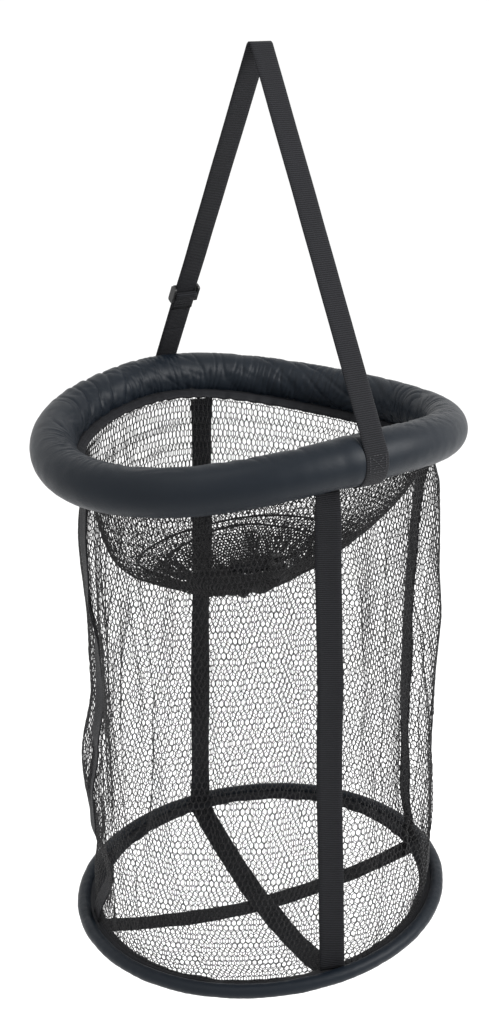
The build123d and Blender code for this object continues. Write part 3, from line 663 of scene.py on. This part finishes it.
def make_cord(name, points, diameter):
    """A round cord on one smooth line."""
    curve = bpy.data.curves.new(name, "CURVE")
    curve.dimensions = "3D"
    spline = curve.splines.new("NURBS")
    spline.points.add(len(points) - 1)
    for point, place in zip(spline.points, points):
        point.co = (*place, 1.0)
    spline.order_u = 3
    spline.use_endpoint_u = True
    spline.resolution_u = 12
    curve.bevel_depth = diameter / 2.0
    curve.bevel_resolution = 5
    curve.use_fill_caps = True
    piece = bpy.data.objects.new(name, curve)
    bpy.context.scene.collection.objects.link(piece)
    return piece


route = [lay_on_net(Vector((x, y, z + FLOAT_CENTRE.z))) for x, y, z in LOOP_ROUTE]
drawcord = make_cord("drawcord", route, CORD_DIAMETER)
paint_piece(drawcord, cord_paint)
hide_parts("drawcord_loop")
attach(drawcord, "collar_mouth")

# ---- float ring -----------------------------------------------------------------------

COVER_STEPS = 900
COVER_ROUND = 84
CREASE_AZIMUTH = 120.0

# The folds across the bend: their azimuth and depth.
BEND_FOLDS = [
    (231.0, 0.0012),
    (223.0, 0.0019),
    (215.5, 0.0017),
    (208.5, 0.0013),
    (201.0, 0.0010),
    (193.0, 0.0007),
]


def crossing_folds(azimuth, angle):
    """Deep curved folds across the tube where the ring bends most sharply."""
    depth = 0.0
    for fold_azimuth, strength in BEND_FOLDS:
        bent = fold_azimuth + 0.055 * (angle - 120.0) + 1.2 * wobble(angle * 0.02, fold_azimuth)
        off = turn_between(azimuth, bent)
        reach = smooth((angle - 25.0) / 45.0) * (1.0 - smooth((angle - 205.0) / 30.0))
        groove = math.exp(-((off / 0.75) ** 2)) - 0.45 * math.exp(-(((off - 2.2) / 1.6) ** 2))
        depth += strength * reach * groove
    return depth


def cover_relief(azimuth, angle):
    """How far the cover stands off its plain tube: bend creases inside, soft swells outside."""
    run = math.radians(azimuth) * FLOAT_RADIUS
    across = math.radians(angle) * TUBE_RADIUS
    inside = 0.5 - 0.5 * math.cos(math.radians(angle))
    ring = polar(azimuth, FLOAT_RADIUS * 10.0)
    swell = ring_wobble(ring, 0.9, across * 14.0)
    skew = ring_wobble(ring, 1.3, across * 9.0 + 7.0) * 0.05
    slant = 1.3 * ring_wobble(ring, 0.5, 3.0)
    phase = (run + across * slant + skew) / 0.0125
    crease = 1.0 - abs(wobble(phase, across * 18.0, 11.0)) * 3.4
    crease = max(crease, 0.0) ** 2
    reach = smooth((inside - 0.12) / 0.6) * (0.6 + 0.4 * wobble(ring.x, ring.y, 20.0))
    far = 0.5 + 0.5 * math.cos(math.radians(azimuth - CREASE_AZIMUTH))
    long_crease = 1.0 - abs(wobble(run * 26.0 + across * 34.0, across * 9.0, 31.0)) * 5.0
    long_crease = max(long_crease, 0.0) ** 2 * far
    fine = wobble(run * 90.0, across * 60.0, 5.0)
    relief = 0.0011 * swell - 0.0021 * crease * reach
    relief = relief - 0.0013 * long_crease * smooth(inside / 0.5) + 0.00022 * fine
    return relief - crossing_folds(azimuth % 360.0, angle % 360.0)


def cover_row(azimuth):
    """The cover's cross-section at an azimuth, with the lapped band at its joint."""
    past = turn_between(azimuth, COVER_JOINT_AZIMUTH + 2.0)
    lap = 0.0013 * smooth((past + 7.0) / 5.0) * smooth(-past / 0.3)
    lap -= 0.0009 * math.exp(-(((past - 0.4) / 0.4) ** 2))
    row = []
    for j in range(COVER_ROUND):
        angle = SEAM_ANGLE + 360.0 * (j + 0.5) / COVER_ROUND
        row.append(float_section(azimuth, angle, TUBE_RADIUS - 0.0003 + lap + cover_relief(azimuth, angle)))
    return row


cover_rows = [cover_row(COVER_JOINT_AZIMUTH + 180.0 + 360.0 * i / COVER_STEPS) for i in range(COVER_STEPS)]
tube_girth = 2.0 * math.pi * TUBE_RADIUS
float_length = 2.0 * math.pi * FLOAT_RADIUS
cover = ring_loft("float_ring_cover", cover_rows, tube_girth, float_length)
paint_piece(cover, cover_paint)
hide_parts("float_cover", "float_cover_band", "float_foam_core")
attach(cover, "float")


def make_seam_edge():
    """The cover's gathered sewn edge, standing out of the tube's inner lower side."""
    steps = 720
    shares = (0.0, 0.25, 0.5, 0.75, 1.0)
    rows = []
    for i in range(steps):
        azimuth = 360.0 * i / steps
        run = math.radians(azimuth) * FLOAT_RADIUS
        ring = polar(azimuth, 1.0)
        ruffle = math.sin(run / 0.0032 + 3.0 * ring_wobble(ring, 6.0))
        ruffle += 1.6 * ring_wobble(ring, 22.0, 2.0)
        row = []
        for side in (1.0, -1.0):
            for share in shares if side > 0 else reversed(shares):
                reach = TUBE_RADIUS - 0.0015 + (SEAM_REACH - TUBE_RADIUS + 0.0015) * share
                sway = 0.0010 * ruffle * share + side * 0.0011
                row.append(float_section(azimuth, seam_angle(azimuth) + math.degrees(sway / reach), reach))
        rows.append(row)
    return ring_loft("float_seam_edge", rows, 0.011, float_length)


seam_edge = make_seam_edge()
paint_piece(seam_edge, tape_paint)
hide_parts("float_seam_binding")
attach(seam_edge, "float")

# ---- side net -------------------------------------------------------------------------

NET_HEIGHT = 0.53
NET_ROWS = round(NET_HEIGHT / CELL_PITCH)
FRONT_TWIST = 24.0
PANEL_SPANS = []
for i in range(4):
    span = (WEBBING_TOP_AZIMUTHS[(i + 1) % 4] - WEBBING_TOP_AZIMUTHS[i]) % 360.0
    PANEL_SPANS.append(math.radians(span) * BINDING_INNER_RADIUS)

# How far each side webbing hangs in (-) or out (+) of a straight line, from top to bottom.
WEBBING_SLACK = {
    "front": ((0.0, 0.0), (0.3, 0.001), (0.6, -0.001), (1.0, 0.0)),
    "right": (
        (0.0, -0.003),
        (0.08, -0.011),
        (0.2, -0.014),
        (0.35, -0.016),
        (0.6, -0.015),
        (0.85, -0.010),
        (1.0, 0.0),
    ),
    "back": ((0.0, 0.0), (0.3, -0.003), (0.6, 0.002), (1.0, 0.0)),
    "left": (
        (0.0, -0.005),
        (0.14, -0.001),
        (0.26, -0.003),
        (0.37, -0.011),
        (0.47, -0.013),
        (0.60, -0.006),
        (0.70, 0.001),
        (0.78, 0.000),
        (0.90, -0.018),
        (1.0, 0.0),
    ),
}

# Where the net hangs smooth, with no narrow tucks: azimuths.
SMOOTH_SIDES = (56.0, 238.0)
# Where the net bellies out (+) or in (-) between the webbings: azimuth, spread and its stops.
NET_BELLIES = (
    (
        51.0,
        20.0,
        ((0.0, 0.003), (0.05, 0.008), (0.22, 0.008), (0.36, 0.013), (0.5, 0.012), (0.7, 0.009), (1.0, 0.0)),
    ),
    (
        237.0,
        14.0,
        ((0.0, 0.0), (0.18, 0.011), (0.42, 0.002), (0.52, 0.0), (0.68, 0.012), (0.87, -0.005), (1.0, 0.0)),
    ),
)


def stop_value(stops, share):
    """A value that runs smoothly from one named point to the next."""
    for (s0, d0), (s1, d1) in zip(stops, stops[1:]):
        if share <= s1:
            return d0 + (d1 - d0) * smooth((share - s0) / (s1 - s0))
    return stops[-1][1]


def slack_at(side, share):
    """The webbing's slack at a share of its length."""
    return stop_value(WEBBING_SLACK[side], share)


def straight_net(panel, along, share):
    """A point of the unwrinkled side net: along is 0 to 1 between two webbings."""
    top_start = WEBBING_TOP_AZIMUTHS[panel]
    top_end = WEBBING_TOP_AZIMUTHS[(panel + 1) % 4]
    base_start = WEBBING_BASE_AZIMUTHS[panel]
    base_end = WEBBING_BASE_AZIMUTHS[(panel + 1) % 4]
    if top_end < top_start:
        top_end += 360.0
        base_end += 360.0
    top_azimuth = mix(top_start, top_end, along)
    base_azimuth = mix(base_start, base_end, along)
    top = seam_point(top_azimuth, 0.0018, -0.0024)
    bottom = base_point(base_azimuth, NET_BASE_RADIUS, BINDING_THICKNESS / 2.0 + 0.0008)
    return mix(top, bottom, share), mix(top_azimuth, base_azimuth, share)


def front_turn(share):
    """How far, in degrees, the front webbing is twisted round its own length."""
    return FRONT_TWIST * smooth(share / 0.07) * (1.0 - 0.5 * smooth((share - 0.95) / 0.05))


def net_relief(panel, along, share, azimuth):
    """How far the net hangs in or out: the webbings' slack, a belly and slanting folds."""
    start = slack_at(SIDE_NAMES[panel], share)
    end = slack_at(SIDE_NAMES[(panel + 1) % 4], share)
    hung = start * smooth(1.0 - along / 0.22) + end * smooth(1.0 - (1.0 - along) / 0.22)
    free = math.sin(math.pi * along) ** 0.6
    loose = math.sin(math.pi * min(max(share, 0.0), 1.0)) ** 0.7
    low = smooth((share - 0.45) / 0.5) * (1.0 - smooth((share - 0.93) / 0.07))
    ring = polar(azimuth, 1.0)
    fold = ring_wobble(ring, 3.2, share * 1.6)
    slant = wobble(ring.x * 6.0 + share * 3.5, ring.y * 6.0 - share * 3.0, share * 2.0 + 9.0)
    pucker = ring_wobble(ring, 16.0, share * 5.0 + 4.0)
    tuck = ridge(ring.x * 2.6 + share * 0.8, ring.y * 2.6 - share * 0.5, 15.0)
    gather = ridge(ring.x * 3.6 - share * 1.4, ring.y * 3.6 + share * 0.9, 27.0)
    smoothed = max(hump(azimuth, middle, 17.0) for middle in SMOOTH_SIDES)
    narrow = (0.006 * slant - 0.009 * tuck + 0.006 * gather) * (1.0 - 0.85 * smoothed)
    relief = loose * free * (0.012 * fold + narrow)
    relief += 0.0007 * pucker * loose
    for middle, spread, stops in NET_BELLIES:
        relief += stop_value(stops, share) * hump(azimuth, middle, spread)
    span = PANEL_SPANS[panel]
    near_front = {0: along * span, 3: (along - 1.0) * span}.get(panel)
    if near_front is not None:
        turned = math.sin(math.radians(front_turn(share))) * near_front
        relief += turned * (1.0 - smooth((abs(near_front) - 0.013) / 0.045))
    return hung + relief + 0.006 * low * free


def side_point(panel, along, share, out=0.0):
    """A point of the hanging side net."""
    place, azimuth = straight_net(panel, along, share)
    return place + polar(azimuth, net_relief(panel, along, share, azimuth) + out)


for i, name in enumerate(PANEL_NAMES):
    columns = round(PANEL_SPANS[i] / CELL_WIDTH)

    def place(column, row, panel=i, columns=columns):
        jitter = noise.noise_vector(Vector((column * 1.7, row * 1.3, panel * 10.0))) * 0.00035
        share = min(max(row / NET_ROWS, 0.0), 1.0)
        return side_point(panel, column / columns, share, 0.0008) + jitter

    panel = net("net_side_" + name, place, columns, NET_ROWS)
    paint_piece(panel, net_paint)
    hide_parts("side_net_" + name)
    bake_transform(panel)


def make_side_webbing(index):
    """A webbing down the outside of the net, a little wavy and twisted."""
    side = SIDE_NAMES[index]
    centres = []
    acrosses = []
    for k in range(111):
        share = k / 110.0
        place, azimuth = straight_net(index, 0.0, share)
        out = slack_at(side, share) + 0.0034 + 0.0008 * wobble(share * 9.0, index * 5.0)
        sway = 0.0016 * math.sin(math.pi * share) * wobble(share * 4.0, index * 7.0 + 2.0)
        centres.append(place + polar(azimuth, out) + polar(azimuth + 90.0, sway))
        twist = 0.25 * math.sin(math.pi * share) * wobble(share * 5.0, index * 3.0 + 8.0)
        if side == "front":
            twist = math.tan(math.radians(front_turn(share)))
        if side == "back":
            twist -= 0.22 * smooth(share / 0.07) * (1.0 - smooth((share - 0.9) / 0.1))
        acrosses.append((polar(azimuth + 90.0) + polar(azimuth, twist)).normalized())
    return ribbon("webbing_" + side, centres, acrosses, WEBBING_WIDTH, WEBBING_THICKNESS, cup=0.0006)


for i, side in enumerate(SIDE_NAMES):
    webbing = make_side_webbing(i)
    paint_piece(webbing, webbing_paint)
    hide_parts("side_webbing_" + side)
    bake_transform(webbing)

# ---- base -----------------------------------------------------------------------------


def make_base_ring():
    """The sewn sleeve over the base hose, slightly puckered along its seam."""
    steps = 480
    round_steps = 28
    rows = []
    for i in range(steps):
        azimuth = 360.0 * i / steps
        ring = polar(azimuth, 1.0)
        outwards = base_point(azimuth, 1.0) - BASE_CENTRE
        row = []
        for j in range(round_steps):
            angle = 2.0 * math.pi * j / round_steps
            pucker = ring_wobble(ring, 40.0, math.cos(angle) * 1.5) * 0.00035
            pucker += ring_wobble(ring, 9.0, math.sin(angle)) * 0.0004
            reach = BASE_TUBE_RADIUS - 0.0002 + pucker
            row.append(
                base_point(azimuth, BASE_RADIUS)
                + outwards * (reach * math.cos(angle))
                + base_up * (reach * math.sin(angle))
            )
        rows.append(row)
    return ring_loft("base_ring_cover", rows, 0.047, 2.0 * math.pi * BASE_RADIUS)


base_ring = make_base_ring()
paint_piece(base_ring, cover_paint)
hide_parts("base_ring_sleeve")
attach(base_ring, "base")


def make_base_tape():
    """The binding inside the base ring, where the base net and the side net are sewn on."""
    steps = 480
    shares = (0.0, 0.2, 0.4, 0.6, 0.8, 1.0)
    rows = []
    for i in range(steps):
        azimuth = 360.0 * i / steps
        ring = polar(azimuth, 1.0)
        row = []
        for side in (1.0, -1.0):
            for share in shares if side > 0 else reversed(shares):
                radius = BASE_RADIUS - BASE_TUBE_RADIUS + 0.002 - 0.0145 * share
                wave = 0.0016 * share * ring_wobble(ring, 12.0, 1.0)
                wave += 0.0006 * share * ring_wobble(ring, 45.0, 2.0)
                row.append(base_point(azimuth, radius, side * 0.0009 + wave - 0.002 * share * share))
        rows.append(row)
    return ring_loft("base_edge_tape", rows, 0.0145, 2.0 * math.pi * BASE_RADIUS)


base_tape = make_base_tape()
paint_piece(base_tape, tape_paint)
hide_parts("base_ring_binding")
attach(base_tape, "base")


def base_sag(x, y):
    """The base net's height over the ring's plane at a point of its flat frame."""
    r = math.hypot(x, y) / NET_BASE_RADIUS
    return -0.0022 - BASE_SAG * (1.0 - r * r) + 0.002 * (1.0 - r) * wobble(x * 16.0, y * 16.0)


BASE_CELL_WIDTH = 0.0056
BASE_CELL_PITCH = 0.0098
base_cells = round(2.0 * NET_BASE_RADIUS / BASE_CELL_WIDTH)
base_rows = round(2.0 * NET_BASE_RADIUS / BASE_CELL_PITCH)


def base_cell_spot(column, row):
    """A netting corner's place in the base ring's flat frame."""
    across = polar(BASE_NET_AZIMUTH, (column - base_cells / 2.0) * BASE_CELL_WIDTH)
    return across + polar(BASE_NET_AZIMUTH + 90.0, (row - base_rows / 2.0) * BASE_CELL_PITCH)


def base_cell_place(column, row):
    """A netting corner of the sagging base net."""
    spot = base_cell_spot(column, row)
    jitter = noise.noise_vector(Vector((column * 1.7, row * 1.3, 60.0))) * 0.0003
    return BASE_CENTRE + base_x * spot.x + base_y * spot.y + base_up * base_sag(spot.x, spot.y) + jitter


def in_base(column, row):
    """Whether a cell lies inside the base ring."""
    return base_cell_spot(column, row).length < NET_BASE_RADIUS - 0.001


base_net = net("net_base", base_cell_place, base_cells, base_rows, inside=in_base, thread=0.00085)
paint_piece(base_net, net_paint)
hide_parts("base_net")
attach(base_net, "base")

# How far the crossing webbings reach from the base ring's middle.
BASE_WEBBING_REACH = 0.1903


def make_base_webbing(name, azimuth, layer):
    """A webbing across under the base net, sagging with it."""
    centres = []
    acrosses = []
    across = base_x * polar(azimuth + 90.0).x + base_y * polar(azimuth + 90.0).y
    for k in range(81):
        reach = (k / 40.0 - 1.0) * BASE_WEBBING_REACH
        spot = polar(azimuth, reach)
        drop = base_sag(spot.x, spot.y) - 0.0022 - layer * 0.0021
        free = 1.0 - (reach / BASE_WEBBING_REACH) ** 2
        drop += 0.0012 * free * wobble(reach * 30.0, layer * 9.0)
        centres.append(BASE_CENTRE + base_x * spot.x + base_y * spot.y + base_up * drop)
        twist = base_up * 0.12 * wobble(reach * 18.0, layer * 4.0 + 1.0)
        acrosses.append((across + twist).normalized())
    return ribbon(name, centres, acrosses, WEBBING_WIDTH, WEBBING_THICKNESS)


for layer, (name, first, second) in enumerate((("long", 0, 2), ("cross", 1, 3))):
    azimuth = (WEBBING_BASE_AZIMUTHS[first] + WEBBING_BASE_AZIMUTHS[second] - 180.0) / 2.0
    webbing = make_base_webbing("webbing_base_" + name, azimuth, layer)
    paint_piece(webbing, webbing_paint)
    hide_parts("base_webbing_" + name)
    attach(webbing, "base")

# ---- collar ---------------------------------------------------------------------------

FOLD_SHARE = 0.7
COLLAR_CELLS = 176
COLLAR_ROWS = 44


def hem_point(azimuth, out=0.0, height=0.0):
    """A point on the drawn-up hem: a narrow crumpled ring that reaches to the cord lock."""
    turn = math.radians(azimuth - LOCK_AZIMUTH)
    ring = polar(azimuth, 1.0)
    crumple = 0.0016 * ring_wobble(ring, 3.0, 40.0) + 0.0010 * ring_wobble(ring, 8.0, 41.0)
    middle = (HEM_REACH[0] + HEM_REACH[1]) / 2.0
    along = middle + ((HEM_REACH[1] - HEM_REACH[0]) / 2.0 + out + crumple) * math.cos(turn)
    across = (HEM_HALF_WIDTH + out + crumple) * math.sin(turn)
    lift = 0.0020 * ring_wobble(ring, 4.0, 44.0)
    level = THROAT + polar(LOCK_AZIMUTH, along) + polar(LOCK_AZIMUTH + 90.0, across)
    return level + Vector((0.0, 0.0, lift + height))


def collar_point(azimuth, share):
    """A point of the collar, from the rim (0) by the fold at the bottom to the throat (1)."""
    rim = seam_point(azimuth, -0.0018, 0.0016)
    edge = hem_point(azimuth, 0.0022, -0.0026)
    s = min(share / FOLD_SHARE, 1.0)
    radius = mix(COLLAR_RIM_RADIUS, COLLAR_FOLD_RADIUS, s)
    bowl = FLOAT_CENTRE + polar(azimuth, radius) + Vector((0.0, 0.0, bowl_height(radius, azimuth)))
    at_rim = FLOAT_CENTRE + polar(azimuth, COLLAR_RIM_RADIUS)
    at_rim.z += bowl_height(COLLAR_RIM_RADIUS, azimuth)
    bowl += (rim - at_rim) * (1.0 - s) ** 2
    if share <= FOLD_SHARE:
        return bowl
    s = (share - FOLD_SHARE) / (1.0 - FOLD_SHARE)
    place = mix(bowl, edge, s)
    place.z = height_on_bowl(place)
    place.z += (edge.z - place.z) * s**6
    return place


def under_lock(place):
    """The height the net sags to under the cord lock's ball, along the lock's short run."""
    away = place - LOCK_CENTRE
    along = away.dot(polar(LOCK_AZIMUTH))
    along -= min(max(along, 0.0), LOCK_RUN)
    gap = math.hypot(along, away.dot(polar(LOCK_AZIMUTH + 90.0)))
    if gap >= LOCK_CLEARANCE:
        return place.z
    return min(place.z, LOCK_CENTRE.z - math.sqrt(LOCK_CLEARANCE**2 - gap**2))


def collar_place(column, row):
    """A netting corner of the collar, with pleats that grow towards the drawn-up throat."""
    azimuth = COLLAR_START_AZIMUTH + 360.0 * column / COLLAR_CELLS
    share = min(max(row / COLLAR_ROWS, 0.0), 1.0)
    ring = polar(azimuth, 1.0)
    gather = math.sin(math.pi * share) ** 0.8
    pleat = ring_wobble(ring, 7.0, share * 1.5) + 0.7 * ring_wobble(ring, 16.0, share * 2.0)
    swirl = 6.0 * ring_wobble(ring, 2.5, share * 2.0 + 6.0) * gather
    turned = collar_point(azimuth + swirl, share)
    inner = smooth((share - 0.35) / 0.35)
    turned.z -= 0.001 * gather + (0.003 + 0.005 * inner) * abs(pleat) * gather
    turned.z = under_lock(turned)
    return turned


def collar_thread(share):
    """Thin single strands at the rim, gathered double near the throat."""
    return 0.00074 + 0.00094 * smooth((share - 0.28) / 0.28)


collar = net("net_collar", collar_place, COLLAR_CELLS, COLLAR_ROWS, closed=True, thread=collar_thread)
paint_piece(collar, net_paint)
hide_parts("collar_net")
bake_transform(collar)


def make_hem():
    """The hem round the throat, ruffled by the cord inside it."""
    steps = 240
    rows = []
    for i in range(steps):
        azimuth = 360.0 * i / steps
        ring = polar(azimuth, 1.0)
        ruffle = math.sin(math.radians(azimuth * 17.0) + 2.0 * ring_wobble(ring, 3.0, 50.0))
        row = []
        for j in range(14):
            turn = 2.0 * math.pi * j / 14.0
            out = 0.0018 * math.cos(turn) * (1.0 + 0.35 * ruffle)
            height = 0.0034 * math.sin(turn) + 0.0011 * ruffle * math.cos(turn + 1.0)
            row.append(hem_point(azimuth, out, height))
        rows.append(row)
    return ring_loft("collar_gathered_hem", rows, 0.018, 0.16)


hem = make_hem()
paint_piece(hem, tape_paint)
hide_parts("collar_hem", "drawcord_hem_run")
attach(hem, "collar_mouth")

# ---- strap ----------------------------------------------------------------------------


class Leg:
    """One leg of the strap in the XZ plane, from the fold to where it meets the tube."""

    def __init__(self, side):
        self.side = side
        self.fold_centre = Vector((0.0, 0.0, -0.003))
        turn = math.degrees(math.asin(-FLOAT_CENTRE.y / (FLOAT_RADIUS * (1.0 - FLOAT_OVAL))))
        self.azimuth = turn if side > 0 else 180.0 - turn
        self.tube = float_point(self.azimuth)
        span = Vector((abs(self.tube.x), 0.0, self.tube.z)) - self.fold_centre
        lean = math.atan2(span.x, -span.z) + math.asin((WRAP_RADIUS - FOLD_RADIUS) / span.length)
        self.lean = math.degrees(lean)
        self.along = Vector((side * math.sin(lean), 0.0, -math.cos(lean)))
        self.out = Vector((side * math.cos(lean), 0.0, math.sin(lean)))
        self.top = self.fold_centre + self.out * FOLD_RADIUS
        self.tangent = Vector((self.tube.x, 0.0, self.tube.z)) + self.out * WRAP_RADIUS

    def line(self, bow):
        """The leg's middle line down to the tube, a little bowed, and on round the tube."""
        length = (self.tangent - self.top).length
        points = []
        for k in range(90):
            share = k / 89.0
            ripple = (bow + 0.0006 * wobble(share * 7.0, self.side)) * math.sin(math.pi * share)
            points.append(self.top + self.along * (length * share) + self.out * ripple)
        for k in range(1, 40):
            turn = math.radians(mix(self.lean, WRAP_END_ANGLE, k / 39.0))
            reach = Vector((self.side * math.cos(turn), 0.0, math.sin(turn))) * WRAP_RADIUS
            points.append(Vector((self.tube.x, 0.0, self.tube.z)) + reach)
        return points


front_leg = Leg(1)
back_leg = Leg(-1)


def make_strap():
    """The whole strap: up the front leg, over the fold and down the back leg."""
    fold = []
    for k in range(1, 14):
        turn = math.radians(mix(front_leg.lean, 180.0 - back_leg.lean, k / 14.0))
        fold.append(front_leg.fold_centre + Vector((math.cos(turn), 0.0, math.sin(turn))) * FOLD_RADIUS)
    centres = list(reversed(front_leg.line(0.0006))) + fold + back_leg.line(-0.0006)
    acrosses = [STRAP_ACROSS] * len(centres)
    return ribbon("strap_band", centres, acrosses, WEBBING_WIDTH, WEBBING_THICKNESS)


def back_leg_point(run, out):
    """A point beside the back leg, run metres down from the slider's middle."""
    drop = (back_leg.top.z - SLIDER_HEIGHT) / -back_leg.along.z
    return back_leg.top + back_leg.along * (drop + run) + back_leg.out * out


def make_under_layer():
    """The strap's own end inside the back leg, from the tab down to the tube."""
    length = (back_leg.tangent - back_leg_point(0.0, 0.0)).length
    runs = [mix(0.0495, length + 0.006, k / 12.0) for k in range(13)]
    centres = [back_leg_point(run, TAB_LAYER) for run in runs]
    return ribbon("strap_under_layer", centres, [STRAP_ACROSS] * 13, WEBBING_WIDTH, TAB_THICKNESS)


strap = join_pieces(make_strap(), make_under_layer())
paint_piece(strap, webbing_paint)
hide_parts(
    "strap_webbing", "strap_flex_front", "strap_flex_back", "strap_end_front", "strap_end_back"
)
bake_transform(strap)

# The tab's way back down over the bar: distance below the slider's middle and out of the leg.
TAB_RETURN = [
    (0.000, -0.0061),
    (0.003, -0.0061),
    (0.0050, -0.0052),
    (0.0065, -0.0036),
    (0.0085, -0.0031),
    (0.0190, -0.0031),
]


def make_tab():
    """The strap's end: up inside the back leg, round the slider's bar and sewn to itself."""
    line = [back_leg_point(mix(0.0500, 0.000, k / 24.0), TAB_LAYER) for k in range(25)]
    for k in range(9):
        turn = math.radians(90.0 + 180.0 * k / 8.0)
        run = -0.0020 + 0.00112 * math.cos(turn)
        line.append(back_leg_point(run, -0.0039 + 0.0022 * math.sin(turn)))
    line += [back_leg_point(run, out) for run, out in TAB_RETURN]
    return ribbon("strap_sewn_tab", line, [STRAP_ACROSS] * len(line), WEBBING_WIDTH, TAB_THICKNESS)


tab = make_tab()
paint_piece(tab, webbing_paint)
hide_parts("strap_tab")
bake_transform(tab)
paint_piece(nodes["strap_end_stitching"], stitch_paint)
